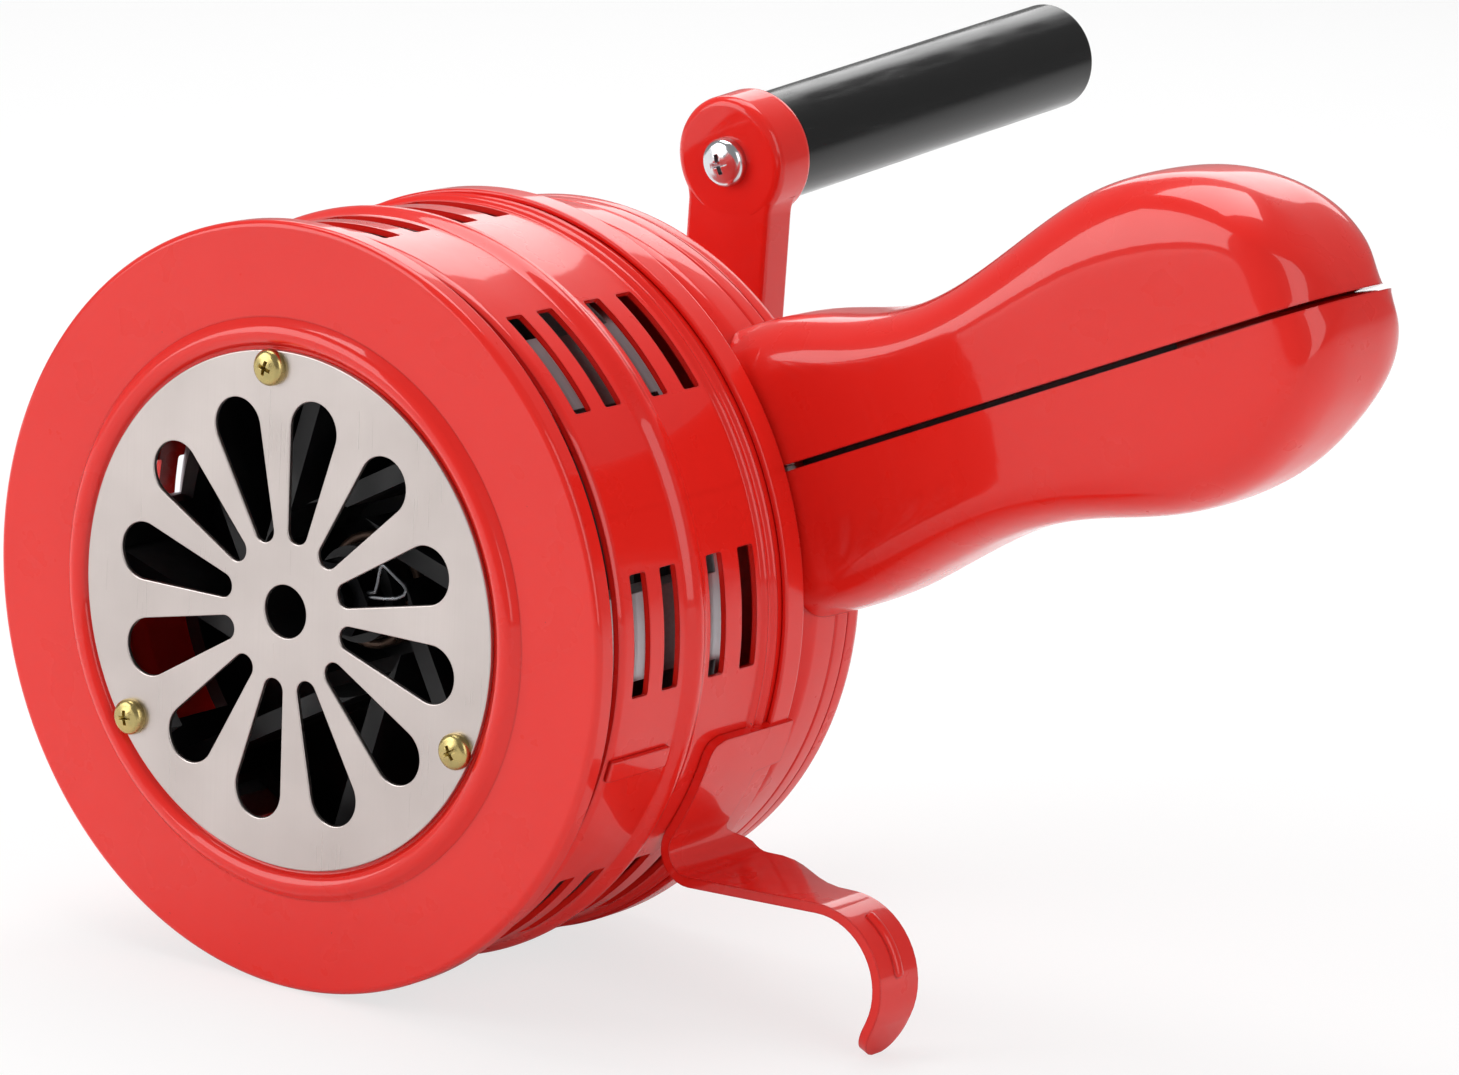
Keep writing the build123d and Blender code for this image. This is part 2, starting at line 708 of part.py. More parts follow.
def make_hub_spring():
    """Wound wire round the rotor hub."""
    length = spring_turns * spring_pitch
    path = Helix(spring_pitch, length, spring_radius)
    section = Plane(origin=path @ 0, z_dir=path % 0) * Circle(spring_wire / 2)
    coil = sweep(section, path=path, is_frenet=True)
    expected = math.pi * (spring_wire / 2) ** 2 * path.length
    print("hub spring least gap to itself", round(least_gap(path, spring_turns, spring_wire), 3), "mm")
    print("hub spring volume over section times length", round(coil.volume / expected, 4))
    return along_y(coil, spring_start_y)


def make_bearing_rings():
    rings = []
    for y in (front_bearing_y, rear_bearing_y):
        rings.append(tube(bearing_outer_r, bearing_split_r, y, y + bearing_width))
    return Compound(rings)


def make_inner_rings():
    rings = []
    for y in (front_bearing_y, rear_bearing_y):
        rings.append(tube(bearing_split_r - running, shaft_radius + fixed, y + 0.2, y + bearing_width - 0.2))
    return Compound(rings)


# --- crank ---------------------------------------------------------------------------------
def shaft_section(radius, flat, spare):
    """Round shaft with one flat, grown by spare."""
    circle = Circle(radius + spare)
    side = radius - flat + spare
    return circle & (Pos(side - 2 * radius, 0) * Rectangle(4 * radius, 4 * radius))


def make_crank_shaft():
    arm_back = crank_hub_back - 0.2
    flat_start = crank_hub_front
    shaft = rod(crank_shaft_r, crank_wheel_y, flat_start)
    driven = Rot(Z=crank_angle) * shaft_section(crank_shaft_r, shaft_flat, 0.0)
    shaft += slab(driven, flat_start, arm_back)
    thread_end = crank_hub_back + washer_thickness + crank_nut_height + 1.5
    shaft += rod(crank_thread_r, arm_back, thread_end)
    return shaft - cross_pin(fixed)


def leaning(shape):
    """Move a shape from the drum axis, y = 0 at the eye's middle, onto the leaning eye of an arm along +X."""
    return Pos(crank_radius, eye_middle_y, 0) * Rot(Z=-handle_lean) * shape


def at_eye(shape):
    """The same, with the arm turned to its place."""
    return Rot(Y=-crank_angle) * leaning(shape)


def make_crank_arm():
    length = crank_radius - arm_width * 0.4
    front = crank_front_y + arm_set_back
    bar = Pos(length / 2, 0) * Rectangle(length, arm_width)
    arm = slab(bar, front, front + arm_thickness)
    arm = fillet(arm.edges().filter_by(Axis.X), arm_round)
    eye = rod(eye_radius, -eye_thickness / 2, eye_thickness / 2)
    eye = fillet(eye.edges().filter_by(GeomType.CIRCLE), arm_round)
    hub = rod(hub_r, crank_hub_front, crank_hub_back)
    hub = fillet(hub.edges().filter_by(GeomType.CIRCLE), hub_round)
    arm = arm + leaning(eye) + hub
    arm -= slab(shaft_section(crank_shaft_r, shaft_flat, fixed), crank_hub_front - 1, crank_hub_back + 1)
    arm -= leaning(rod(handle_screw_r + fixed, -eye_thickness, eye_thickness))
    return Rot(Y=-crank_angle) * arm


def make_crank_washers():
    front = tube(washer_r, crank_shaft_r + running, cap_boss_end + 0.1, crank_hub_front)
    rear = tube(washer_r, crank_thread_r + fixed, crank_hub_back, crank_hub_back + washer_thickness)
    return Compound([front, rear])


def make_crank_nut():
    start = crank_hub_back + washer_thickness
    nut = RegularPolygon(5.0, 6, major_radius=False) - Circle(crank_thread_r + fixed)
    return slab(nut, start, start + crank_nut_height)


def make_crank_bushes():
    front = tube(bush_outer_r, crank_shaft_r + running, cap_inner_y, cap_inner_y + bush_length)
    rear = tube(bush_outer_r, crank_shaft_r + running, cap_boss_end - bush_length, cap_boss_end)
    return Compound([front, rear])


def make_handle_spindle():
    start = eye_thickness / 2
    spindle = rod(spindle_radius, start, handle_start + spindle_length)
    spindle += rod(spindle_collar_r, start, handle_start + spindle_collar)
    depth = handle_screw_length - eye_thickness + 1
    return at_eye(spindle - rod(handle_screw_r + fixed, start - 1, start + depth))


def make_handle_screw():
    screw = pan_screw(handle_screw_r, handle_screw_head_r, handle_screw_head_h, handle_screw_length)
    return at_eye(along_y(screw, -eye_thickness / 2, turn=12 - crank_angle))


def make_crank_handle():
    end = handle_start + handle_length
    handle = rod(handle_radius, handle_start, end)
    handle = fillet(handle.edges().filter_by(GeomType.CIRCLE), handle_round)
    handle -= rod(spindle_radius + running, handle_start - 1, handle_start + spindle_length + 1)
    pocket = handle_start + spindle_collar + collar_spare
    return at_eye(handle - rod(spindle_collar_r + collar_spare, handle_start - 1, pocket))


# --- grip ----------------------------------------------------------------------------------
def saddle_y():
    """Middle of the grip bracket's foot, on the straight wall of the gear case."""
    return (case_flare_y + case_end_y) / 2


def grip_half(line, end, inset, side):
    """Half of the grip on one side of the seam, before it is hollowed; inset shrinks it."""
    root = grip_root if inset == 0 else grip_root - 1
    seam = grip_seam / 2 if inset == 0 else 0.0
    tip = end - inset
    first = (root, line[0][1] - inset)
    knots = [first] + [(r, h - inset) for r, h in line] + [(tip, seam)]
    outline = Curve() + [
        Line((root, seam), first),
        Spline(*knots, tangents=[(1, 0), (0, -1)]),
        Line((tip, seam), (root, seam)),
    ]
    depth = grip_depth - 2 * inset
    plane = Plane(origin=(0, grip_middle_y + depth / 2, 0), x_dir=(1, 0, 0), z_dir=(0, -1, 0))
    half = extrude(plane * make_face(outline), depth)
    half = fillet(half.edges().filter_by(GeomType.BSPLINE), grip_round - inset)
    if side < 0:
        half = mirror(half, Plane.XY)
    return half


def grip_post(station, side):
    """Screw boss inside one half, from the tang or the seam to beyond the outer wall."""
    start = tang_thickness / 2 + 0.05 if station < tang_end else grip_seam / 2
    post = Cylinder(grip_boss_r, 30, align=(Align.CENTER, Align.CENTER, Align.MIN))
    post = Pos(station, grip_middle_y, start) * post
    return mirror(post, Plane.XY) if side < 0 else post


def make_grip_half(line, end, side):
    outside = grip_half(line, end, 0.0, side)
    shell = outside - grip_half(line, end, grip_wall, side)
    for station in grip_screw_stations:
        shell += grip_post(station, side) & outside
    return shell


def grip_bore(station):
    bore = Cylinder(grip_screw_r + fixed, 28)
    return Pos(station, grip_middle_y, 0) * bore


def make_grip_upper():
    shell = make_grip_half(grip_upper_line, grip_upper_end, 1)
    for station in grip_screw_stations:
        shell -= grip_bore(station)
    return Rot(Y=-grip_angle) * shell - case_body(0.1)


def make_grip_lower():
    shell = make_grip_half(grip_lower_line, grip_lower_end, -1)
    for station in grip_screw_stations:
        shell -= Pos(0, 0, -8) * grip_bore(station)
        sink = Cylinder(grip_screw_head_r + 0.3, 20, align=(Align.CENTER, Align.CENTER, Align.MAX))
        shell -= Pos(station, grip_middle_y, -grip_screw_seat) * sink
    return Rot(Y=-grip_angle) * shell - case_body(0.1)


def make_grip_screws():
    screw = pan_screw(grip_screw_r, grip_screw_head_r, grip_screw_head_h, grip_screw_length)
    screws = []
    for station in grip_screw_stations:
        screws.append(Rot(Y=-grip_angle) * Pos(station, grip_middle_y, -grip_screw_seat) * screw)
    return Compound(screws)


def make_grip_bracket():
    inner = case_radius + 0.05
    outer = inner + saddle_thickness
    foot = sector(outer, inner, 0, 2 * saddle_half_angle)
    bracket = slab(foot, saddle_y() - saddle_width / 2, saddle_y() + saddle_width / 2)
    length = tang_end - outer + 0.5
    bar = Box(length, tang_width, tang_thickness)
    bar = fillet(bar.edges().filter_by(Axis.Z).sort_by(Axis.X)[-2:], 4.0)
    bracket += Pos(tang_end - length / 2, grip_middle_y, 0) * bar
    for station in grip_screw_stations:
        bracket -= grip_bore(station)
    bracket = Rot(Y=-grip_angle) * bracket
    hole = Pos(0, 0, case_radius) * Cylinder(saddle_screw_r + fixed, 20)
    for angle in saddle_screw_places():
        bracket -= Pos(0, saddle_y(), 0) * Rot(Y=90 - angle) * hole
    return bracket


def make_bracket_screws():
    head_seat = case_radius + 0.05 + saddle_thickness
    screw = Pos(0, 0, head_seat) * Rot(X=180) * pan_screw(saddle_screw_r, saddle_screw_head_r, saddle_screw_head_h, 6.5)
    screws = []
    for angle in saddle_screw_places():
        screws.append(Pos(0, saddle_y(), 0) * Rot(Y=90 - angle) * screw)
    return Compound(screws)


# --- hook ----------------------------------------------------------------------------------
def make_hook():
    inner = band_radius + hook_lift
    outer = inner + hook_sheet
    bend = polar(outer + hook_bend, hook_leave_angle)
    start = hook_leave_angle + 180
    stop = 270 + hook_rise
    strap_in = arc_mid((0, 0), inner, hook_top_angle, hook_leave_angle)
    strap_out = arc_mid((0, 0), outer, hook_top_angle, hook_leave_angle)
    bend_in = arc_mid(bend, hook_bend, start, stop)
    bend_out = arc_mid(bend, hook_bend + hook_sheet, start, stop)
    run_x, run_z = polar(hook_run, hook_rise)
    top_end = (bend_in[2][0] + run_x, bend_in[2][1] + run_z)
    low_end = (bend_out[2][0] + run_x, bend_out[2][1] + run_z)
    down_x, down_z = polar(hook_curl, hook_rise - 90)
    curl = (low_end[0] + down_x, low_end[1] + down_z)
    curl_in = arc_mid(curl, hook_curl, 90 + hook_rise, hook_curl_end)
    curl_out = arc_mid(curl, hook_curl + hook_sheet, 90 + hook_rise, hook_curl_end)
    tip_x, tip_z = polar(1.0, hook_curl_end - 90)
    tip_length = (curl_out[2][1] + cover_radius) / -tip_z
    tip_in = (curl_in[2][0] + tip_x * tip_length, curl_in[2][1] + tip_z * tip_length)
    tip_out = (curl_out[2][0] + tip_x * tip_length, curl_out[2][1] + tip_z * tip_length)
    outline = Curve() + [
        ThreePointArc(*strap_out),
        ThreePointArc(*bend_in),
        Line(bend_in[2], top_end),
        ThreePointArc(*curl_out),
        Line(curl_out[2], tip_out),
        Line(tip_out, tip_in),
        Line(tip_in, curl_in[2]),
        ThreePointArc(*curl_in),
        Line(low_end, bend_out[2]),
        ThreePointArc(*bend_out),
        ThreePointArc(*strap_in),
        Line(strap_in[0], strap_out[0]),
    ]
    hook = slab(make_face(outline), hook_front_y, hook_front_y + hook_flare_width)
    hook -= hook_waste(bend, low_end)
    tip_edges = hook.edges().filter_by(GeomType.LINE).sort_by(Axis.Z)
    corners = [edge for edge in tip_edges if abs(edge.length - hook_sheet) < 0.01][:2]
    hook = fillet(corners, hook_tip_round)
    for middle in rear_beads:
        hook -= strap_groove(middle)
    return hook + hook_rib(curl)


def strap_groove(middle):
    """What the strap leaves free where it is pressed over one of the casing's rear beads."""
    half = rear_bead_half + hook_lift
    crest = band_radius + rear_bead_height + hook_lift
    outline = Curve() + [
        Line((band_radius - 1, middle - half), (band_radius, middle - half)),
        ThreePointArc((band_radius, middle - half), (crest, middle), (band_radius, middle + half)),
        Line((band_radius, middle + half), (band_radius - 1, middle + half)),
        Line((band_radius - 1, middle + half), (band_radius - 1, middle - half)),
    ]
    return turned(outline)


def hook_waste(bend, low_end):
    """What is trimmed off the bent sheet: beside the strap, and behind the tapering run."""
    strap_edge = hook_front_y + hook_strap_width
    far = hook_front_y + hook_flare_width + 1
    run_top = bend[1] - hook_bend
    beside = Box(2 * hook_flare_width, far - strap_edge, 60, align=(Align.CENTER, Align.MIN, Align.MIN))
    beside = Pos(bend[0], strap_edge, run_top + 1.2) * beside
    tip_edge = hook_front_y + hook_tip_width
    flare_edge = hook_front_y + hook_flare_width
    start = (bend[0] + 1.5, flare_edge)
    knots = [start, (bend[0] + 8.0, flare_edge - 3.4), (bend[0] + 18.0, tip_edge + 1.0), (low_end[0] + 2, tip_edge)]
    rear_edge = Spline(*knots, tangents=[(1, 0), (1, 0)])
    right = low_end[0] + 3 * hook_curl
    outline = Curve() + [
        rear_edge,
        Line(knots[-1], (right, tip_edge)),
        Line((right, tip_edge), (right, far)),
        Line((right, far), (start[0], far)),
        Line((start[0], far), start),
    ]
    behind = Pos(0, 0, -cover_radius - 5) * extrude(make_face(outline), cover_radius)
    return beside + behind


def hook_rib(curl):
    """Pressed rib along the outside of the curl."""
    middle_y = hook_front_y + hook_tip_width / 2
    radius = hook_curl + hook_sheet - 0.3
    axis = Axis((curl[0], middle_y, curl[1]), (0, 1, 0))
    start = polar(radius, 62)
    section = Plane(origin=(curl[0] + start[0], middle_y, curl[1] + start[1]), z_dir=(-start[1], 0, start[0]))
    rib = revolve(section * Circle(hook_rib_r), axis, 52)
    for angle in (62, 10):
        x, z = polar(radius, angle)
        rib += Pos(curl[0] + x, middle_y, curl[1] + z) * Sphere(hook_rib_r)
    return rib - Pos(curl[0], middle_y, curl[1]) * Rot(X=90) * Cylinder(hook_curl + 0.4, 3 * hook_rib_r)


# --- write the parts -----------------------------------------------------------------------
os.makedirs("parts", exist_ok=True)
save(make_front_cover(), "front_cover")
save(make_grille_plate(), "grille_plate")
save(make_grille_screws(), "grille_screws")
save(make_stator(), "stator")
save(make_casing_band(), "casing_band")
save(make_rear_cover(), "rear_cover")
save(make_drum_screws(), "drum_screws")
save(make_gear_case(), "gear_case")
save(make_gear_cap(), "gear_cap")
save(make_cap_screws(), "gear_cap_screws")
save(make_intermediate_gear(), "intermediate_gear")
save(make_layshaft_pin(), "layshaft_pin")
save(make_rotor_pinion(), "rotor_pinion")
save(make_crank_gear(), "crank_gear")
save(cross_pin(0.0), "crank_gear_pin")
save(make_rotor(), "rotor")
save(make_rotor_shaft(), "rotor_shaft")
save(make_rotor_nut(), "rotor_nut")
save(make_hub_spring(), "hub_spring")
save(make_bearing_rings(), "rotor_bearings")
save(make_inner_rings(), "bearing_inner_rings")
save(make_crank_shaft(), "crank_shaft")
save(make_crank_arm(), "crank_arm")
save(make_crank_washers(), "crank_washers")
save(make_crank_nut(), "crank_nut")
save(make_crank_bushes(), "crank_bushes")
save(make_handle_spindle(), "handle_spindle")
save(make_handle_screw(), "handle_screw")
save(make_crank_handle(), "crank_handle")
save(make_grip_upper(), "grip_upper")
save(make_grip_lower(), "grip_lower")
save(make_grip_screws(), "grip_screws")
save(make_grip_bracket(), "grip_bracket")
save(make_bracket_screws(), "bracket_screws")
save(make_hook(), "hook")
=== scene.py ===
# %% [markdown]
# # Hand crank siren
# The frame is the finished mechanical model: every node is a real piece at its real size, in metres, with
# +Y along the drum axis and +Z up. It is loaded first and never changed. What follows gives each visible
# piece its real surface: a finer mesh where the solid is too coarse for a gloss finish, and a material
# everywhere.

# %% Load the frame
import math
import bpy
from mathutils import Matrix, Vector


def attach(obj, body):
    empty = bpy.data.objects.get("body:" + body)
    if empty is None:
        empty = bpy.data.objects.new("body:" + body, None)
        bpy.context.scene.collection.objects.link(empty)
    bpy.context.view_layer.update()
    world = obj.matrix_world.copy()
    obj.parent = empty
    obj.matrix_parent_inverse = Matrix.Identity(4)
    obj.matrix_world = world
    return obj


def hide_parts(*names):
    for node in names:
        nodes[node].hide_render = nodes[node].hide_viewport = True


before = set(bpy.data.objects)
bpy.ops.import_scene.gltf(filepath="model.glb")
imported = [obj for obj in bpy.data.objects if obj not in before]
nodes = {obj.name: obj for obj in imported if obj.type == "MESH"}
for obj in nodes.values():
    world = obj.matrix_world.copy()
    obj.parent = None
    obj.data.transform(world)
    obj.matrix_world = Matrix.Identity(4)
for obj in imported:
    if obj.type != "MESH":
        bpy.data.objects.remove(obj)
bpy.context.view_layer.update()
MM = 0.001

# %% [markdown]
# ## Camera
# The photograph was taken from the right and a little above, with a long lens and a slight roll. The
# camera's place and its three directions come from matching the drum's circles in the photograph, so a
# piece that sits right on the drum also sits right in the picture.

# %% Photo camera
CAMERA_PLACE = Vector((627.88, -745.92, 238.29)) * MM
CAMERA_RIGHT = Vector((0.7967, 0.6030, 0.0411))
CAMERA_UP = Vector((-0.1683, 0.1560, 0.9733))
CAMERA_FORWARD = Vector((-0.5805, 0.7824, -0.2258))
PHOTO_WIDTH = 1459
FOCAL_PIXELS = 7147.2

camera_data = bpy.data.cameras.new("photo_camera")
camera_data.sensor_width = 36.0
camera_data.lens = FOCAL_PIXELS / PHOTO_WIDTH * camera_data.sensor_width
camera_data.clip_start = 0.05
camera_data.clip_end = 20.0
camera = bpy.data.objects.new("photo_camera", camera_data)
bpy.context.scene.collection.objects.link(camera)
turn = Matrix((CAMERA_RIGHT, CAMERA_UP, -CAMERA_FORWARD)).transposed()
camera.matrix_world = Matrix.Translation(CAMERA_PLACE) @ turn.to_4x4()
bpy.context.scene.camera = camera
bpy.context.scene.view_settings.view_transform = "Standard"
print("lens mm", round(camera_data.lens, 1))

# %% [markdown]
# ## Floor and light
# The siren lies on its rims on plain white board. The board keeps a soft shadow, so it is a real matt
# surface, and part of it is mixed with white that only the camera sees, which is how a studio cuts a product
# out. The lamps are large and soft, because gloss paint shows the shape of each lamp: an overhead box gives
# the broad light on the grip, a side panel lights the intake face, and a strip behind draws the light along
# the top of the handle.

# %% Helpers for shaders and selection
def node(tree, kind, links=None, **settings):
    """Adds one shader node, sets its options, and links or sets its inputs."""
    made = tree.nodes.new(kind)
    for option, value in settings.items():
        setattr(made, option, value)
    for socket, source in (links or {}).items():
        if isinstance(source, bpy.types.NodeSocket):
            tree.links.new(source, made.inputs[socket])
        else:
            made.inputs[socket].default_value = source
    return made


def linear(hex_code):
    """Turns an sRGB hex colour into the linear colour that a shader takes."""
    channels = [int(hex_code[i:i + 2], 16) / 255 for i in (1, 3, 5)]
    return [c / 12.92 if c <= 0.04045 else ((c + 0.055) / 1.055) ** 2.4 for c in channels] + [1.0]


def deselect():
    """Leaves edit mode and selects nothing, so that the next operator acts on the new piece alone."""
    if bpy.context.object is not None and bpy.context.object.mode != "OBJECT":
        bpy.ops.object.mode_set(mode="OBJECT")
    bpy.ops.object.select_all(action="DESELECT")


print("enamel red in linear light", [round(channel, 3) for channel in linear("#E6241C")])

# %% Floor
FLOOR_Z = -55.05 * MM
FLOOR_SIDE = 6.0               # metres
CAMERA_WHITE = 0.72            # share of the board that only the camera sees, as plain white

board = bpy.data.materials.new("white_studio_board")
board.use_nodes = True
tree = board.node_tree
tree.nodes.clear()
path = node(tree, "ShaderNodeLightPath")
share = node(tree, "ShaderNodeMath", {0: path.outputs["Is Camera Ray"], 1: CAMERA_WHITE},
             operation="MULTIPLY")
matt = node(tree, "ShaderNodeBsdfDiffuse", {"Color": linear("#F2F2F2")})
white = node(tree, "ShaderNodeEmission", {"Color": (1, 1, 1, 1), "Strength": 1.0})
mixed = node(tree, "ShaderNodeMixShader", {0: share.outputs[0], 1: matt.outputs[0], 2: white.outputs[0]})
node(tree, "ShaderNodeOutputMaterial", {"Surface": mixed.outputs[0]})

deselect()
bpy.ops.mesh.primitive_plane_add(size=FLOOR_SIDE, location=(0, 0, FLOOR_Z))
floor = bpy.context.object
floor.name = "studio_floor"
floor.data.materials.append(board)
print("floor at mm", round(FLOOR_Z / MM, 2))

# %% World
ROOM_LIGHT = 0.30              # the room's even light on the siren; the backdrop itself is white

world = bpy.data.worlds.new("studio_world")
bpy.context.scene.world = world
world.use_nodes = True
tree = world.node_tree
tree.nodes.clear()
path = node(tree, "ShaderNodeLightPath")
seen = node(tree, "ShaderNodeMath",
            {0: path.outputs["Is Camera Ray"], 1: path.outputs["Is Transmission Ray"]}, operation="MAXIMUM")
room = node(tree, "ShaderNodeBackground", {"Color": (1, 1, 1, 1), "Strength": ROOM_LIGHT})
backdrop = node(tree, "ShaderNodeBackground", {"Color": (1, 1, 1, 1), "Strength": 1.0})
mixed = node(tree, "ShaderNodeMixShader", {0: seen.outputs[0], 1: room.outputs[0], 2: backdrop.outputs[0]})
node(tree, "ShaderNodeOutputWorld", {"Surface": mixed.outputs[0]})
print("room light", ROOM_LIGHT)

# %% Lamps
LAMP_AIM = Vector((0.03, 0.04, 0.0))
LAMPS = [
    # name, place, width, height, power: metres and watts
    ("overhead_softbox", (-0.22, 0.22, 0.92), 0.9, 0.55, 7.2),
    ("left_front_panel", (-0.75, -0.85, 0.45), 0.8, 0.9, 7.7),
    ("right_front_panel", (0.95, -0.25, 0.40), 0.5, 0.9, 3.0),
    ("rear_strip", (-0.42, 0.95, 0.55), 0.9, 0.4, 2.7),
]
for name, place, width, height, power in LAMPS:
    lamp_data = bpy.data.lights.new(name, "AREA")
    lamp_data.shape = "RECTANGLE"
    lamp_data.size = width
    lamp_data.size_y = height
    lamp_data.energy = power
    lamp = bpy.data.objects.new(name, lamp_data)
    bpy.context.scene.collection.objects.link(lamp)
    lamp.location = place
    aim = LAMP_AIM - Vector(place)
    lamp.rotation_euler = aim.to_track_quat("-Z", "Y").to_euler()
print("lamps", len(LAMPS))

# %% [markdown]
# ## Finishes
# Each material is one real finish. Patterns are placed by Object coordinates, which are metres here, so a
# pattern with a grain of 2 mm has a scale of 1 / (2 * MM). Relief goes through a Bump node in metres as well.

# %% A start for every finish
def start_finish(name, base, metallic, roughness):
    """A new material with its shader and Object coordinates."""
    material = bpy.data.materials.new(name)
    material.use_nodes = True
    tree = material.node_tree
    shader = tree.nodes["Principled BSDF"]
    shader.inputs["Base Color"].default_value = linear(base)
    shader.inputs["Metallic"].default_value = metallic
    shader.inputs["Roughness"].default_value = roughness
    place = tree.nodes.new("ShaderNodeTexCoord").outputs["Object"]
    return material, tree, shader, place


def grain(size_mm):
    """The texture scale that gives features of this size."""
    return 1.0 / (size_mm * MM)


print("scale of a 2 mm grain", round(grain(2.0)))

# %% [markdown]
# **Stoved red enamel on steel and on die castings.** The siren is sprayed with a thick gloss enamel and
# baked. Such paint is a coloured base under a clear gloss skin: it keeps a faint orange-peel waviness of
# 1 to 2 mm, it is thinner and a little darker on sharp edges, and a few dust nibs and pin-prick chips show.
# Castings are rougher below the paint, so their waviness is a little stronger.

# %% Red enamel
DRIFT_MM = 38.0                # slow change of the red from one pass of the spray gun to the next
THIN_EDGE_MM = 0.45            # width of the thin paint on an edge
CHIP_MM = 0.9                  # pin-prick chips, a little coarser than real so that they show
RUB_MM = 9.0                   # patches that hands have dulled


def red_enamel(name, peel_mm, peel_height):
    material, tree, shader, place = start_finish(name, "#E6241C", 0.0, 0.30)
    tone = node(tree, "ShaderNodeTexNoise", {"Vector": place, "Scale": grain(DRIFT_MM), "Detail": 2.0})
    drift = node(tree, "ShaderNodeMix", {0: tone.outputs["Fac"], 6: linear("#E01E17"), 7: linear("#EA291F")},
                 data_type="RGBA")
    rounded = node(tree, "ShaderNodeBevel", {"Radius": THIN_EDGE_MM * MM}, samples=4)
    surface = tree.nodes.new("ShaderNodeNewGeometry")
    facing = node(tree, "ShaderNodeVectorMath", {0: rounded.outputs[0], 1: surface.outputs["Normal"]},
                  operation="DOT_PRODUCT")
    edge = node(tree, "ShaderNodeMapRange", {0: facing.outputs["Value"], 1: 0.995, 2: 0.93, 3: 0.0, 4: 1.0})
    thin = node(tree, "ShaderNodeMix", {0: edge.outputs[0], 6: drift.outputs[2], 7: linear("#C41914")},
                data_type="RGBA")
    pricks = node(tree, "ShaderNodeTexNoise", {"Vector": place, "Scale": grain(CHIP_MM), "Detail": 2.0})
    chips = node(tree, "ShaderNodeMapRange", {0: pricks.outputs["Fac"], 1: 0.80, 2: 0.82, 3: 0.0, 4: 0.8})
    bare = node(tree, "ShaderNodeMix", {0: chips.outputs[0], 6: thin.outputs[2], 7: linear("#5A1512")},
                data_type="RGBA")
    tree.links.new(bare.outputs[2], shader.inputs["Base Color"])
    rub = node(tree, "ShaderNodeTexNoise", {"Vector": place, "Scale": grain(RUB_MM), "Detail": 4.0})
    gloss = node(tree, "ShaderNodeMapRange", {0: rub.outputs["Fac"], 1: 0.3, 2: 0.75, 3: 0.24, 4: 0.40})
    tree.links.new(gloss.outputs[0], shader.inputs["Roughness"])
    shader.inputs["Specular IOR Level"].default_value = 0.12
    shader.inputs["Coat Weight"].default_value = 0.75
    shader.inputs["Coat Roughness"].default_value = 0.05
    shader.inputs["Coat IOR"].default_value = 1.5
    peel = node(tree, "ShaderNodeTexNoise", {"Vector": place, "Scale": grain(peel_mm), "Detail": 1.0})
    wave = node(tree, "ShaderNodeBump", {"Height": peel.outputs["Fac"], "Strength": 1.0,
                                         "Distance": peel_height * MM})
    tree.links.new(wave.outputs[0], shader.inputs["Normal"])
    skin = node(tree, "ShaderNodeBump", {"Height": peel.outputs["Fac"], "Strength": 0.6,
                                         "Distance": peel_height * MM})
    tree.links.new(skin.outputs[0], shader.inputs["Coat Normal"])
    return material


sheet_enamel = red_enamel("stoved_red_enamel_on_sheet_steel", 2.6, 0.012)
cast_enamel = red_enamel("stoved_red_enamel_on_die_casting", 3.4, 0.022)
print("red enamels", sheet_enamel.name, cast_enamel.name)

# %% [markdown]
# **Stainless sheet.** The grille is cut from cold-rolled stainless sheet that has a fine grain in one
# direction and picks up rolling smears. The grain itself is far finer than a pixel, so it is drawn at
# 0.25 mm across and 25 mm long, as coarse as it needs to be to show.

# %% Stainless sheet
ROLLED_TURN = 35               # direction of the rolling, in degrees
ROLLED_MM = 0.25
ROLLED_LENGTH_MM = 25.0
SMEAR_MM = 17.0
stainless, tree, shader, place = start_finish("cold_rolled_stainless_sheet", "#BDB3AE", 1.0, 0.34)
stretch = node(tree, "ShaderNodeMapping", {"Vector": place, "Rotation": (0, math.radians(ROLLED_TURN), 0),
                                           "Scale": (1.0, 1.0, ROLLED_MM / ROLLED_LENGTH_MM)})
lines = node(tree, "ShaderNodeTexNoise",
             {"Vector": stretch.outputs[0], "Scale": grain(ROLLED_MM), "Detail": 2.0})
smear = node(tree, "ShaderNodeTexNoise", {"Vector": place, "Scale": grain(SMEAR_MM), "Detail": 3.0})
shade = node(tree, "ShaderNodeMix", {0: smear.outputs["Fac"], 6: linear("#B5ABA7"), 7: linear("#CFC6C2")},
             data_type="RGBA")
tree.links.new(shade.outputs[2], shader.inputs["Base Color"])
both = node(tree, "ShaderNodeMath", {0: lines.outputs["Fac"], 1: smear.outputs["Fac"]}, operation="MULTIPLY")
dull = node(tree, "ShaderNodeMapRange", {0: both.outputs[0], 1: 0.12, 2: 0.42, 3: 0.27, 4: 0.45})
tree.links.new(dull.outputs[0], shader.inputs["Roughness"])
rolled = node(tree, "ShaderNodeBump", {"Height": lines.outputs["Fac"], "Strength": 0.5,
                                       "Distance": 0.006 * MM})
tree.links.new(rolled.outputs[0], shader.inputs["Normal"])
print("made", stainless.name)

# %% [markdown]
# **Plated screws, nuts and washers.** The grille screws are yellow chromated zinc, which runs from straw to
# grey-green in patches. The screw in the crank's end is bright nickel-chrome. Hidden hardware is plain
# zinc. All are small, so one pattern of soft patches and a light roughness is enough.

# %% Plated metals
PLATING_MM = 0.35              # grain of a plated surface


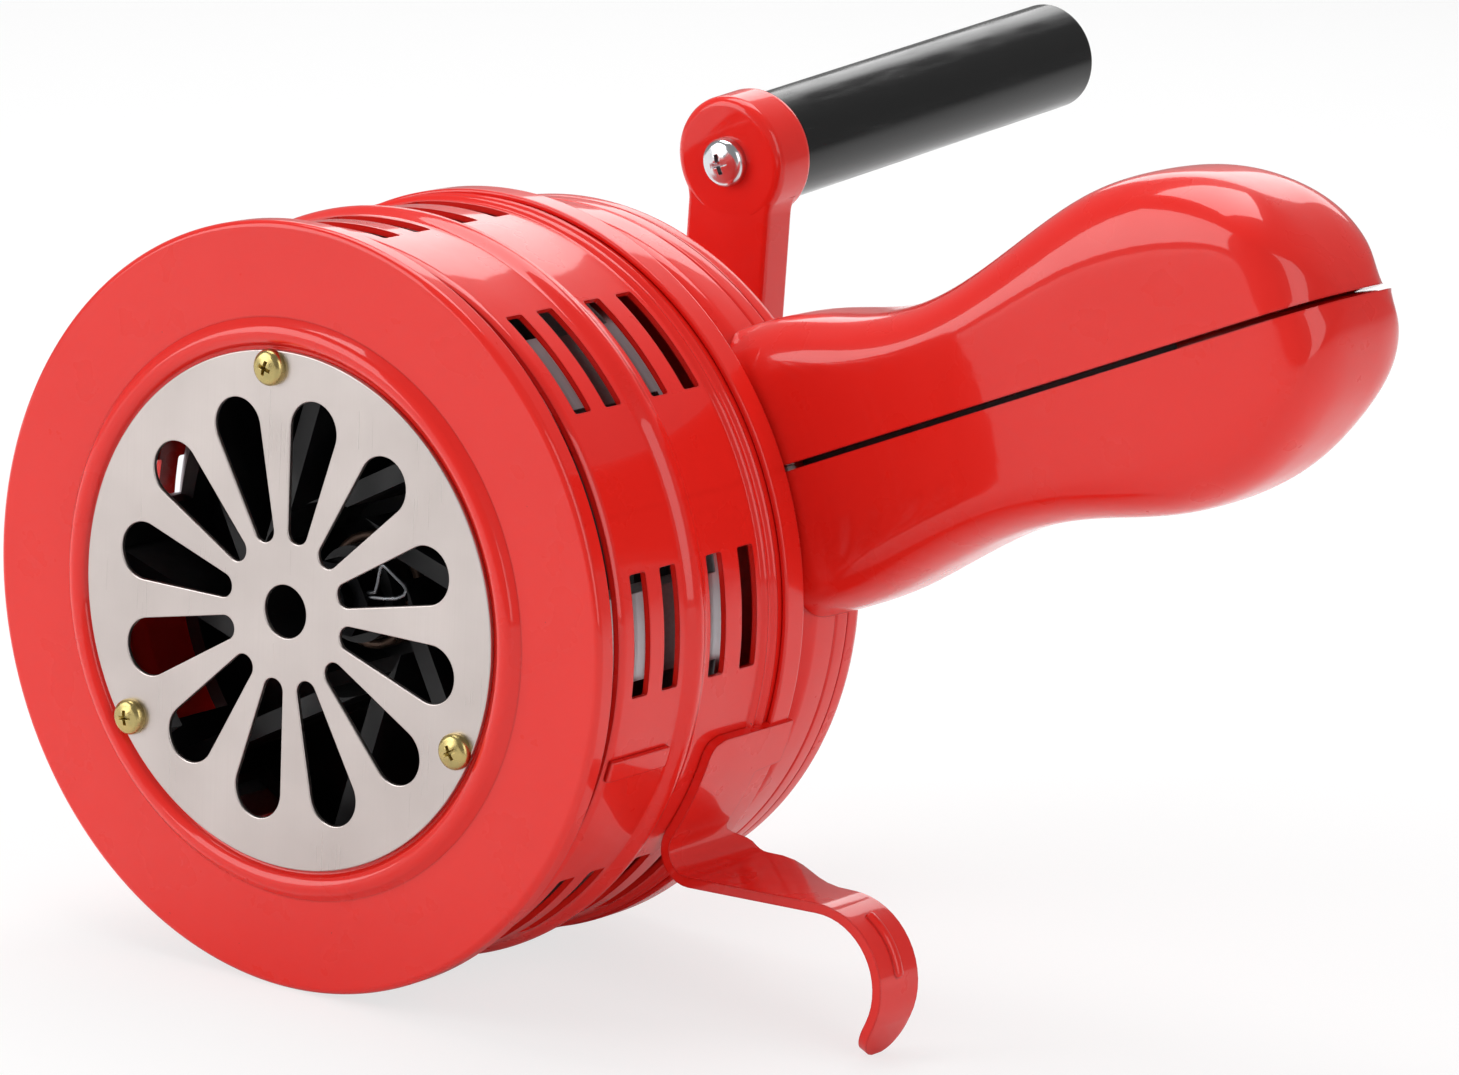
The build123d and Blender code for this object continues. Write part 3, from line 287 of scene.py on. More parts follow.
def plated(name, base, patch, roughness, patch_mm):
    material, tree, shader, place = start_finish(name, base, 1.0, roughness)
    tone = node(tree, "ShaderNodeTexNoise", {"Vector": place, "Scale": grain(patch_mm), "Detail": 3.0})
    shade = node(tree, "ShaderNodeMix", {0: tone.outputs["Fac"], 6: linear(base), 7: linear(patch)},
                 data_type="RGBA")
    tree.links.new(shade.outputs[2], shader.inputs["Base Color"])
    worn = node(tree, "ShaderNodeMapRange", {0: tone.outputs["Fac"], 1: 0.3, 2: 0.7, 3: roughness * 0.8,
                                             4: roughness * 1.5})
    tree.links.new(worn.outputs[0], shader.inputs["Roughness"])
    fine = node(tree, "ShaderNodeTexNoise", {"Vector": place, "Scale": grain(PLATING_MM), "Detail": 2.0})
    relief = node(tree, "ShaderNodeBump", {"Height": fine.outputs["Fac"], "Strength": 0.4,
                                           "Distance": 0.01 * MM})
    tree.links.new(relief.outputs[0], shader.inputs["Normal"])
    return material


yellow_zinc = plated("yellow_chromated_zinc", "#C9B070", "#A39A6A", 0.24, 1.4)
nickel_chrome = plated("bright_nickel_chrome", "#DFE0E2", "#CDCFD3", 0.15, 1.8)
plain_zinc = plated("bright_zinc_plate", "#B9BCC0", "#9EA3A8", 0.28, 1.6)
machined_steel = plated("turned_carbon_steel", "#8F8F92", "#77787C", 0.32, 2.5)
blackened_steel = plated("oil_blackened_steel", "#29292B", "#1B1B1D", 0.38, 2.0)
bronze = plated("sintered_bronze", "#A9834F", "#8C6A3D", 0.45, 0.8)
print("plated metals", 6)

# %% [markdown]
# **Cast and turned aluminium.** The stator is a casting whose eight posts are turned on a lathe, except for
# a recessed band that keeps its grainy cast skin. The turned lands have fine rings, and the difference is
# chosen by the distance from the drum axis: the recess lies 0.8 mm deeper than the lands.

# %% Stator aluminium
RECESS_EDGE = (49.5 * MM, 49.9 * MM)    # distances from the axis between which skin turns into turned land
CAST_GRIT_MM = 0.5
TURNED_RING_MM = 0.3
cast_aluminium, tree, shader, place = start_finish("cast_and_turned_aluminium", "#B4B4B6", 1.0, 0.38)
parts = node(tree, "ShaderNodeSeparateXYZ", {0: place})
across = node(tree, "ShaderNodeCombineXYZ", {0: parts.outputs[0], 2: parts.outputs[2]})
distance = node(tree, "ShaderNodeVectorMath", {0: across.outputs[0]}, operation="LENGTH")
turned_land = node(tree, "ShaderNodeMapRange", {0: distance.outputs["Value"], 1: RECESS_EDGE[0],
                                                2: RECESS_EDGE[1], 3: 0.0, 4: 1.0})
grit = node(tree, "ShaderNodeTexNoise", {"Vector": place, "Scale": grain(CAST_GRIT_MM), "Detail": 4.0})
rings = node(tree, "ShaderNodeTexNoise", {1: parts.outputs[1], "Scale": grain(TURNED_RING_MM)},
             noise_dimensions="1D")
skin = node(tree, "ShaderNodeMix", {0: grit.outputs["Fac"], 6: linear("#8E8E90"), 7: linear("#ABABAD")},
            data_type="RGBA")
shade = node(tree, "ShaderNodeMix", {0: turned_land.outputs[0], 6: skin.outputs[2], 7: linear("#C4C4C8")},
             data_type="RGBA")
tree.links.new(shade.outputs[2], shader.inputs["Base Color"])
dull = node(tree, "ShaderNodeMapRange", {0: turned_land.outputs[0], 3: 0.62, 4: 0.30})
tree.links.new(dull.outputs[0], shader.inputs["Roughness"])
relief = node(tree, "ShaderNodeMix", {0: turned_land.outputs[0], 2: grit.outputs["Fac"],
                                      3: rings.outputs["Fac"]})
bump = node(tree, "ShaderNodeBump", {"Height": relief.outputs[0], "Strength": 0.7, "Distance": 0.04 * MM})
tree.links.new(bump.outputs[0], shader.inputs["Normal"])
print("made", cast_aluminium.name)

# %% [markdown]
# **Moulded black plastic.** The crank's handle is a moulded tube of black ABS. It is glossy from the mould,
# and handling has given it fine scuffs along its length, which show as slightly duller streaks.

# %% Black plastic
SCUFF_MM = 1.5
SCUFF_STRETCH = 0.12           # scuffs run along the handle
black_abs, tree, shader, place = start_finish("moulded_black_abs", "#0D0D0D", 0.0, 0.20)
stretch = node(tree, "ShaderNodeMapping", {"Vector": place, "Scale": (1.0, SCUFF_STRETCH, 1.0)})
scuff = node(tree, "ShaderNodeTexNoise",
             {"Vector": stretch.outputs[0], "Scale": grain(SCUFF_MM), "Detail": 6.0})
streak = node(tree, "ShaderNodeMapRange", {0: scuff.outputs["Fac"], 1: 0.42, 2: 0.72, 3: 0.15, 4: 0.28})
tree.links.new(streak.outputs[0], shader.inputs["Roughness"])
worn = node(tree, "ShaderNodeMapRange", {0: scuff.outputs["Fac"], 1: 0.66, 2: 0.76, 3: 0.0, 4: 1.0})
shade = node(tree, "ShaderNodeMix", {0: worn.outputs[0], 6: linear("#0B0B0B"), 7: linear("#191919")},
             data_type="RGBA")
tree.links.new(shade.outputs[2], shader.inputs["Base Color"])
bump = node(tree, "ShaderNodeBump", {"Height": scuff.outputs["Fac"], "Strength": 0.3, "Distance": 0.006 * MM})
tree.links.new(bump.outputs[0], shader.inputs["Normal"])
print("made", black_abs.name)

# %% [markdown]
# **Inside the drum.** The rotor is dipped in black enamel, satin where air has dusted it. The coil on its hub
# is oiled spring wire that has browned, with grease between the turns, and the grip's bracket is plain grey
# primer.

# %% Rotor enamel, spring wire and primer
DUST_MM = 6.0
STAIN_MM = 1.1
SPECK_MM = 1.2
black_enamel, tree, shader, place = start_finish("satin_black_enamel", "#1A1A1B", 0.0, 0.38)
dust = node(tree, "ShaderNodeTexNoise", {"Vector": place, "Scale": grain(DUST_MM), "Detail": 5.0})
shade = node(tree, "ShaderNodeMix", {0: dust.outputs["Fac"], 6: linear("#0D0D0E"), 7: linear("#1E1E20")},
             data_type="RGBA")
tree.links.new(shade.outputs[2], shader.inputs["Base Color"])
dull = node(tree, "ShaderNodeMapRange", {0: dust.outputs["Fac"], 1: 0.3, 2: 0.7, 3: 0.28, 4: 0.55})
tree.links.new(dull.outputs[0], shader.inputs["Roughness"])
bump = node(tree, "ShaderNodeBump", {"Height": dust.outputs["Fac"], "Strength": 0.4, "Distance": 0.05 * MM})
tree.links.new(bump.outputs[0], shader.inputs["Normal"])

browned_wire, tree, shader, place = start_finish("oiled_spring_wire", "#5E4A3E", 0.7, 0.5)
stain = node(tree, "ShaderNodeTexNoise", {"Vector": place, "Scale": grain(STAIN_MM), "Detail": 4.0})
shade = node(tree, "ShaderNodeMix", {0: stain.outputs["Fac"], 6: linear("#33261F"), 7: linear("#83695A")},
             data_type="RGBA")
tree.links.new(shade.outputs[2], shader.inputs["Base Color"])
wet = node(tree, "ShaderNodeMapRange", {0: stain.outputs["Fac"], 1: 0.3, 2: 0.7, 3: 0.22, 4: 0.6})
tree.links.new(wet.outputs[0], shader.inputs["Roughness"])

grey_primer, tree, shader, place = start_finish("grey_primer", "#6C6E70", 0.0, 0.6)
speck = node(tree, "ShaderNodeTexNoise", {"Vector": place, "Scale": grain(SPECK_MM), "Detail": 4.0})
shade = node(tree, "ShaderNodeMix", {0: speck.outputs["Fac"], 6: linear("#5F6163"), 7: linear("#7C7E80")},
             data_type="RGBA")
tree.links.new(shade.outputs[2], shader.inputs["Base Color"])
bump = node(tree, "ShaderNodeBump", {"Height": speck.outputs["Fac"], "Strength": 0.5, "Distance": 0.03 * MM})
tree.links.new(bump.outputs[0], shader.inputs["Normal"])
print("inside finishes", 3)

# %% [markdown]
# ## Ways of working
# A turned or spun piece starts as one point that is extruded along half of its section and then spun about
# the drum axis, as a lathe or a press tool would shape it. The helpers below hold the steps that every piece
# shares: cutting with another piece, breaking its edges, smoothing it and handing it to the frame.

# %% Helpers for the pieces
TURN_STEPS = 256               # facets round a full turn, fine enough for a gloss highlight
SAME_POINT = 0.002 * MM        # points closer than this are one


def arc(centre, radius, start, end, steps):
    """Points of an arc in mm, angles in degrees."""
    points = []
    for index in range(steps + 1):
        angle = math.radians(start + (end - start) * index / steps)
        points.append((centre[0] + radius * math.cos(angle), centre[1] + radius * math.sin(angle)))
    return points


def only(piece):
    """Selects this piece alone, for the next operator."""
    deselect()
    piece.select_set(True)
    bpy.context.view_layer.objects.active = piece


def apply_place(piece):
    """Puts the piece's place into its mesh and leaves its object at the origin."""
    only(piece)
    bpy.ops.object.transform_apply(location=True, rotation=True, scale=True)


def edit(piece, kind="VERT", chosen=None):
    """Enters edit mode with everything selected, or only the vertices or faces that pass a test."""
    only(piece)
    bpy.context.tool_settings.mesh_select_mode = (kind == "VERT", False, kind == "FACE")
    if chosen is not None:
        mesh = piece.data
        for group in (mesh.vertices, mesh.edges, mesh.polygons):
            group.foreach_set("select", [False] * len(group))
        if kind == "VERT":
            mesh.vertices.foreach_set("select", [chosen(vertex.co) for vertex in mesh.vertices])
        else:
            mesh.polygons.foreach_set("select", [chosen(face.center) for face in mesh.polygons])
    bpy.ops.object.mode_set(mode="EDIT")
    if chosen is None:
        bpy.ops.mesh.select_all(action="SELECT")


def one_point(name, x, y, z):
    """A new piece of one selected vertex at a place in mm, in edit mode."""
    deselect()
    bpy.ops.mesh.primitive_plane_add(size=MM, location=(x * MM, y * MM, z * MM))
    piece = bpy.context.object
    piece.name = name
    apply_place(piece)
    edit(piece)
    bpy.ops.mesh.merge(type="CENTER")
    return piece


def extrude(step, times=1):
    """Extrudes what is selected by a step in mm, once or several times."""
    for index in range(times):
        bpy.ops.mesh.extrude_region_move(TRANSFORM_OT_translate={"value": [value * MM for value in step]})


def drawn(name, points):
    """A new piece of edges from point to point in mm, in edit mode."""
    piece = one_point(name, *points[0])
    for here, there in zip(points, points[1:]):
        extrude([end - start for start, end in zip(here, there)])
    return piece


def face_outwards(piece):
    """Turns every face of a closed piece outwards."""
    edit(piece)
    bpy.ops.mesh.normals_make_consistent(inside=False)
    bpy.ops.object.mode_set(mode="OBJECT")


def spun(name, section, steps=TURN_STEPS, sweep=360.0, start=0.0):
    """Extrudes one point round a closed section of (radius, y) in mm, and spins it about the drum axis."""
    piece = drawn(name, [(radius, y, 0) for radius, y in section + section[:1]])
    bpy.ops.mesh.select_all(action="SELECT")
    bpy.ops.mesh.remove_doubles(threshold=SAME_POINT)
    bpy.ops.mesh.spin(steps=steps, angle=math.radians(sweep), center=(0, 0, 0), axis=(0, 1, 0))
    bpy.ops.mesh.select_all(action="SELECT")
    bpy.ops.mesh.remove_doubles(threshold=SAME_POINT)
    if sweep < 360.0:
        bpy.ops.mesh.fill_holes(sides=0)
    face_outwards(piece)
    piece.rotation_euler = (0, math.radians(-start), 0)
    apply_place(piece)
    return piece


def modify(piece, kind, **options):
    """Adds a modifier with its options and applies it."""
    only(piece)
    bpy.ops.object.modifier_add(type=kind)
    modifier = piece.modifiers[-1]
    for option, value in options.items():
        setattr(modifier, option, value)
    bpy.ops.object.modifier_apply(modifier=modifier.name)


def combine(piece, other, operation):
    """Cuts another piece out of this one, or joins it on, and removes the other."""
    modify(piece, "BOOLEAN", object=other, operation=operation, solver="EXACT")
    bpy.data.objects.remove(other, do_unlink=True)


def break_edges(piece, width, segments=2, angle=35.0):
    """Rounds the sharp edges by a width in mm."""
    modify(piece, "BEVEL", width=width * MM, segments=segments, limit_method="ANGLE",
           angle_limit=math.radians(angle), harden_normals=False)


def joined(pieces, name):
    """Several pieces as one object."""
    deselect()
    for piece in pieces:
        piece.select_set(True)
    bpy.context.view_layer.objects.active = pieces[0]
    bpy.ops.object.join()
    pieces[0].name = name
    return pieces[0]


def copied(piece, place, turn=(0, 0, 0)):
    """A copy with its own mesh, turned in degrees and moved in mm."""
    twin = piece.copy()
    twin.data = piece.data.copy()
    bpy.context.scene.collection.objects.link(twin)
    twin.rotation_euler = [math.radians(angle) for angle in turn]
    twin.location = [value * MM for value in place]
    apply_place(twin)
    return twin


def hand_over(piece, finish, body, replaced=(), smooth=32.0, flats=True):
    """Smooths, paints and hands a finished piece to the frame; its flats keep true normals beside rounds."""
    apply_place(piece)
    bpy.ops.object.shade_smooth_by_angle(angle=math.radians(smooth))
    if flats:
        modify(piece, "WEIGHTED_NORMAL", mode="FACE_AREA", weight=50, keep_sharp=True)
    piece.data.materials.clear()
    piece.data.materials.append(finish)
    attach(piece, body)
    if replaced:
        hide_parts(*replaced)
    size = [round(v / MM, 1) for v in piece.dimensions]
    print(piece.name, "faces", len(piece.data.polygons), "size mm", size)


def polar(radius, angle):
    """(x, z) in mm at an angle in degrees, as seen from the intake."""
    return radius * math.cos(math.radians(angle)), radius * math.sin(math.radians(angle))


# %% [markdown]
# ## Front cover
# A pressed steel disc with a rounded rim and, round the grille, a raised lip that the press rolled up. It is
# one section spun about the axis. The sharp outer rim of the first press step becomes a 1 mm round.

# %% Front cover
FACE_Y = -2.1
SEAT_Y = FACE_Y - 0.3          # the grille's seat, pressed in a little
SHEET = 1.2                    # steel sheet of the front and rear covers
INTAKE_RADIUS = 32.5
LIP_FOOT = 37.3
LIP_RADIUS = 39.3
LIP_ROUND = 1.75
FACE_START = 41.5
FACE_END = 48.0
RIM_RADIUS = 54.96
COVER_ROUND = 1.0
HEM_Y = 0.9                    # where the cut edge of the skirt starts to round over
HEM_ROUND = 0.2
INSIDE_ROUND = 0.4

section = [(INTAKE_RADIUS, SEAT_Y + 0.15), (INTAKE_RADIUS + 0.15, SEAT_Y), (LIP_FOOT, SEAT_Y)]
section += arc((LIP_RADIUS, FACE_Y + 0.1), LIP_ROUND, 200.0, 335.0, 10)
section += [(FACE_START, FACE_Y), (FACE_END, FACE_Y)]
section += arc((RIM_RADIUS - COVER_ROUND, FACE_Y + COVER_ROUND), COVER_ROUND, 270.0, 360.0, 8)
section += [(RIM_RADIUS, HEM_Y)] + arc((RIM_RADIUS - HEM_ROUND, HEM_Y), HEM_ROUND, 0.0, 90.0, 3)[1:]
skirt_inside = RIM_RADIUS - SHEET
section += [(skirt_inside, HEM_Y + HEM_ROUND), (skirt_inside, FACE_Y + SHEET + INSIDE_ROUND)]
section += [(skirt_inside - INSIDE_ROUND, FACE_Y + SHEET), (INTAKE_RADIUS, FACE_Y + SHEET)]
cover = spun("front_cover_pressing", section)
hand_over(cover, sheet_enamel, "housing", ["front_cover"], smooth=40.0)

# %% [markdown]
# ## Grille
# Twelve teardrops cut from stainless sheet. Each teardrop is the hull of a large disc and a small one, which
# is how a punch of this shape is drawn. The cut leaves a bright, slightly broken edge that catches the light.

# %% Grille plate
GRILLE_BACK = SEAT_Y
GRILLE_SHEET = 0.8
GRILLE_RADIUS = 37.0
TEARDROPS = 12
TEARDROP_FIRST = 111.0         # angle of the first teardrop
WIDE_ROUND = 4.15              # radius of a teardrop's outer end, and how far out it reaches
WIDE_REACH = 30.95
NARROW_ROUND = 1.75            # the same for its inner end
NARROW_REACH = 10.1
CENTRE_HOLE = 3.8
PUNCH_DEPTH = 6.0
ALONG_Y = (math.radians(90), 0, 0)


def disc(radius, depth, x, y, z, vertices=48):
    """A cylinder along Y with its middle at a place in mm."""
    deselect()
    bpy.ops.mesh.primitive_cylinder_add(vertices=vertices, radius=radius * MM, depth=depth * MM,
                                        location=(x * MM, y * MM, z * MM), rotation=ALONG_Y)
    piece = bpy.context.object
    apply_place(piece)
    return piece


middle_y = GRILLE_BACK - GRILLE_SHEET / 2
wide = disc(WIDE_ROUND, PUNCH_DEPTH, WIDE_REACH - WIDE_ROUND, middle_y, 0)
narrow = disc(NARROW_ROUND, PUNCH_DEPTH, NARROW_REACH + NARROW_ROUND, middle_y, 0)
punch = joined([wide, narrow], "punch")
edit(punch)
bpy.ops.mesh.convex_hull()
bpy.ops.object.mode_set(mode="OBJECT")
punches = [copied(punch, (0, 0, 0), (0, -TEARDROP_FIRST - 360.0 / TEARDROPS * index, 0))
           for index in range(TEARDROPS)]
bpy.data.objects.remove(punch, do_unlink=True)
punches.append(disc(CENTRE_HOLE, PUNCH_DEPTH, 0, middle_y, 0, 64))
plate = disc(GRILLE_RADIUS, GRILLE_SHEET, 0, middle_y, 0, TURN_STEPS)
plate.name = "grille_sheet"
combine(plate, joined(punches, "punches"), "DIFFERENCE")
break_edges(plate, 0.2, 3)
hand_over(plate, stainless, "housing", ["grille_plate"], smooth=30.0)

# %% [markdown]
# ## Screws
# All visible screws are pan heads with a cross recess. One is modelled from a cylinder whose top edge is
# rounded over and whose top is drawn up in three small steps into a low dome, so that it mirrors the whole
# room and not one patch of it. The cross is cut by two tapered bars. It is then copied at each size.

# %% One pan-head screw
RIM_SHARE = 0.84               # the rim's share of the head's height; the low dome has the rest
RIM_BEVEL = 0.66               # of the rim's height
DOME_INSET = 0.18              # of the head's radius, at each of the dome's three steps
DOME_RISES = (0.09, 0.05, 0.02)
# A bar's length and width are shares of the head's radius, and its depth is a share of the height.
CROSS_LENGTH = 1.05
CROSS_DEPTH = 1.2
CROSS_WIDTH = 0.26
CROSS_TAPER = 0.62
BROKEN_EDGE = 0.03             # of the head's radius


def pan_screw(name, head_radius, head_height, shank_radius, shank_length):
    """A screw along +Y in mm, with its seat at the origin and its head towards -Y."""
    rim_height = head_height * RIM_SHARE
    head = disc(head_radius, rim_height, 0, -rim_height / 2, 0, 64)
    head.name = name
    edit(head, "FACE", lambda middle: middle.y < -rim_height * 0.9 * MM)
    bpy.ops.mesh.bevel(offset=rim_height * RIM_BEVEL * MM, segments=7, profile=0.5)
    bpy.ops.object.mode_set(mode="OBJECT")
    edit(head, "FACE", lambda middle: middle.y < -rim_height * 0.995 * MM)
    for rise in DOME_RISES:
        bpy.ops.mesh.inset(thickness=head_radius * DOME_INSET * MM)
        bpy.ops.transform.translate(value=(0, -head_height * rise * MM, 0))
    bpy.ops.object.mode_set(mode="OBJECT")
    for turn in (0.0, 90.0):
        deselect()
        bpy.ops.mesh.primitive_cube_add(size=1.0, location=(0, -head_height * MM, 0))
        bar = bpy.context.object
        bar.scale = (head_radius * CROSS_LENGTH * MM, head_height * CROSS_DEPTH * MM,
                     head_radius * CROSS_WIDTH * MM)
        bar.rotation_euler = (0, math.radians(turn), 0)
        apply_place(bar)
        for vertex in bar.data.vertices:
            if vertex.co.y > -head_height * MM:
                vertex.co.x *= CROSS_TAPER
                vertex.co.z *= CROSS_TAPER
        combine(head, bar, "DIFFERENCE")
    break_edges(head, head_radius * BROKEN_EDGE, 2, 40.0)
    shank = disc(shank_radius, shank_length, 0, shank_length / 2, 0, 32)
    return joined([head, shank], name)


GRILLE_SCREW = (2.6, 1.8, 1.45, 5.0)    # head radius, head height, shank radius, shank length
zinc_screw = pan_screw("zinc_screw", *GRILLE_SCREW)
print("one screw, faces", len(zinc_screw.data.polygons))

# %% Grille screws
GRILLE_SCREW_CIRCLE = 34.6
GRILLE_SCREW_ANGLES = (96.0, 216.0, 336.0)
CROSS_TURN = 1.7               # turns each cross differently, as screws come to rest


def screw_ring(name, screw, circle, y, turns):
    """A screw copied to angles on a circle about the drum axis, each with its own turn, as one piece."""
    copies = []
    for angle, turn in turns.items():
        x, z = polar(circle, angle)
        copies.append(copied(screw, (x, y, z), turn))
    bpy.data.objects.remove(screw, do_unlink=True)
    return joined(copies, name)


screws = screw_ring("grille_screw_heads", zinc_screw, GRILLE_SCREW_CIRCLE, GRILLE_BACK - GRILLE_SHEET,
                    {angle: (0, -angle * CROSS_TURN, 0) for angle in GRILLE_SCREW_ANGLES})
hand_over(screws, yellow_zinc, "housing", ["grille_screws"])

# %% [markdown]
# ## Slotted casing
# A strip of sheet steel is pierced with rows of slots, given its beads by rollers, bent round the stator and
# lapped. Here the section with its beads is spun, and then the slots are cut square to the wall, because the
# real ones are punched before bending. The broken edges catch the light round every slot, as paint does.

# %% Casing section and beads
BAND_RADIUS = 53.1
BAND_SHEET = 0.9
BAND_FRONT = 5.3
BAND_REAR = 44.4
STRAIGHTS = (12.0, 31.0)                # a point in each straight stretch keeps its faces short
WIDE_BEAD = (21.9, 2.7, 1.1, 16)        # middle, half width, height, steps
REAR_BEADS = [(37.7, 0.85, 0.7, 8), (39.9, 0.85, 0.7, 8)]


def bead(middle, half, height, steps):
    """Section points of one pressed bead, from its front foot to its rear foot, with soft feet."""
    points = []
    for index in range(steps + 1):
        share = index / steps
        lift = 0.5 - 0.5 * math.cos(2 * math.pi * share)
        points.append((BAND_RADIUS + height * lift ** 0.8, middle - half + 2 * half * share))
    return points


outside = [(BAND_RADIUS - 0.55, BAND_FRONT), (BAND_RADIUS - 0.12, BAND_FRONT + 0.45),
           (BAND_RADIUS, BAND_FRONT + 1.2)]
outside += [(BAND_RADIUS, STRAIGHTS[0])] + bead(*WIDE_BEAD) + [(BAND_RADIUS, STRAIGHTS[1])]
for rear_bead in REAR_BEADS:
    outside += bead(*rear_bead)
outside.append((BAND_RADIUS, BAND_REAR))
inside = [(radius - BAND_SHEET, y) for radius, y in reversed(outside)]
casing = spun("casing_sheet", outside + inside)
print("casing section points", len(outside + inside))

# %% Slots
SLOT_COLUMNS = (9.9, 16.6, 27.1, 34.3)
SLOT_GROUPS = 8
SLOT_FIRST = 4.2               # angle of the first group, and from one group to the next
SLOT_PITCH = 44.0
SLOT_SWEEP = 18.7              # degrees that one slot covers
SLOT_WIDTH = 3.5
TOOL_DEPTH = 7.0
slot_length = 2 * BAND_RADIUS * math.sin(math.radians(SLOT_SWEEP / 2))
cutters = []
for column in SLOT_COLUMNS:
    for group in range(SLOT_GROUPS):
        deselect()
        bpy.ops.mesh.primitive_cube_add(size=1.0, location=(BAND_RADIUS * MM, column * MM, 0))
        cutter = bpy.context.object
        cutter.scale = (TOOL_DEPTH * MM, SLOT_WIDTH * MM, slot_length * MM)
        apply_place(cutter)
        break_edges(cutter, 0.35, 2, 60.0)
        cutter.rotation_euler = (0, -math.radians(SLOT_FIRST + SLOT_PITCH * group), 0)
        apply_place(cutter)
        cutters.append(cutter)
print("slots", len(cutters), "each mm", round(slot_length, 1), "x", SLOT_WIDTH)
combine(casing, joined(cutters, "slot_tools"), "DIFFERENCE")

# %% Lap joint of the casing
LAP_END = 18.6
LAP_LIFT = 0.75
LAP_SWEEP = 3.4
LAP_START = -18.0
lap_front = BAND_FRONT + 0.3
lap = spun("lap", [(BAND_RADIUS - 0.05, lap_front), (BAND_RADIUS + 0.55, lap_front),
                   (BAND_RADIUS + LAP_LIFT, BAND_FRONT + 0.8), (BAND_RADIUS + LAP_LIFT, LAP_END),
                   (BAND_RADIUS - 0.05, LAP_END)], steps=12, sweep=LAP_SWEEP, start=LAP_START)
break_edges(casing, 0.16, 2, 50.0)
break_edges(lap, 0.2, 2, 50.0)
casing = joined([casing, lap], "casing_sheet")
hand_over(casing, sheet_enamel, "housing", ["casing_band"], smooth=38.0)

# %% [markdown]
# ## Rear cover, gear case and cap
# The rear cover is a shallow pressed lid whose skirt grips the casing. The gear case is a die casting: its
# wall leaves the cover through a narrow neck and flares out, a fine groove runs round it, and the cap is
# screwed on behind. All three are spun sections with their real radii at each corner.

# %% Rear cover
REAR_Y = 45.9
REAR_RADIUS = 54.2
REAR_HOLE = 12.6
REAR_ROUND = 0.6
SKIRT_Y = 42.0
SKIRT_INSIDE = 53.15
HEM = 0.4                      # radius of the skirt's rolled hem
HEM_MIDDLE = 53.6
section = [(REAR_HOLE, REAR_Y), (REAR_HOLE, REAR_Y - SHEET), (SKIRT_INSIDE, REAR_Y - SHEET),
           (SKIRT_INSIDE, SKIRT_Y - 0.25)]
section += arc((HEM_MIDDLE, SKIRT_Y), HEM, 180.0, 270.0, 4)
section += arc((REAR_RADIUS - HEM, SKIRT_Y), HEM, 270.0, 360.0, 5)
section += arc((REAR_RADIUS - REAR_ROUND, REAR_Y - REAR_ROUND), REAR_ROUND, 0.0, 90.0, 5)
rear = spun("rear_cover_pressing", section)
hand_over(rear, sheet_enamel, "housing", ["rear_cover"], smooth=40.0)

# %% Gear case
CASE_RADIUS = 51.0
CASE_END = 60.9
CASE_INSIDE = 46.0
CASE_HOLE = 9.6
NECK_RADIUS = 46.6
FLARE_Y = 47.2
FLARE_LENGTH = 6.4
FLARE_STEPS = 10
GROOVE_Y = 58.0
GROOVE = [(0.0, -0.4), (0.12, -0.25), (0.35, 0.0), (0.12, 0.25), (0.0, 0.4)]   # depth, place along the axis
STEP_Y = 50.9                  # inside, the wall steps in to the floor
STEP_RADIUS = 43.8
CASE_FLOOR = 48.4
foot_y = REAR_Y + 0.02
section = [(NECK_RADIUS - 0.15, foot_y), (NECK_RADIUS - 0.1, FLARE_Y - 0.6)]
for index in range(FLARE_STEPS + 1):
    share = index / FLARE_STEPS
    swell = 0.5 - 0.5 * math.cos(math.pi * share)
    section.append((NECK_RADIUS + (CASE_RADIUS - NECK_RADIUS) * swell, FLARE_Y + FLARE_LENGTH * share))
section += [(CASE_RADIUS - depth, GROOVE_Y + along) for depth, along in GROOVE]
section += [(CASE_RADIUS, CASE_END - 0.35), (CASE_RADIUS - 0.1, CASE_END - 0.1)]
section += [(CASE_RADIUS - 0.4, CASE_END)]
section += [(CASE_INSIDE, CASE_END), (CASE_INSIDE, STEP_Y), (STEP_RADIUS, STEP_Y), (STEP_RADIUS, CASE_FLOOR),
            (CASE_HOLE, CASE_FLOOR), (CASE_HOLE, foot_y)]
case = spun("gear_case_casting", section)
hand_over(case, cast_enamel, "housing", ["gear_case"], smooth=40.0)

# %% Gear case cap with the crank bearing
CAP_END = 64.6
CAP_INSIDE = 62.1
CAP_ROUND = 2.0
BUSH_RADIUS = 6.05
BOSS_RADIUS = 12.0
BOSS_END = 91.5
BOSS_ROUND = 0.8
BOSS_FOOT = 15.0
FOOT_ROUND = 3.0
section = [(BUSH_RADIUS, CAP_INSIDE), (CASE_INSIDE, CAP_INSIDE), (CASE_INSIDE, CASE_END)]
section += [(CASE_RADIUS - 0.4, CASE_END), (CASE_RADIUS - 0.1, CASE_END + 0.1)]
section += [(CASE_RADIUS, CASE_END + 0.35)]
section += arc((CASE_RADIUS - CAP_ROUND, CAP_END - CAP_ROUND), CAP_ROUND, 0.0, 90.0, 8)
section += [(BOSS_FOOT + FOOT_ROUND, CAP_END)]
for angle in (20, 40, 60, 80):
    section.append((BOSS_FOOT + FOOT_ROUND * (1 - math.sin(math.radians(angle))),
                    CAP_END + FOOT_ROUND * (1 - math.cos(math.radians(angle)))))
section += [(BOSS_RADIUS + 0.4, CAP_END + 8.0), (BOSS_RADIUS, CAP_END + 11.0)]
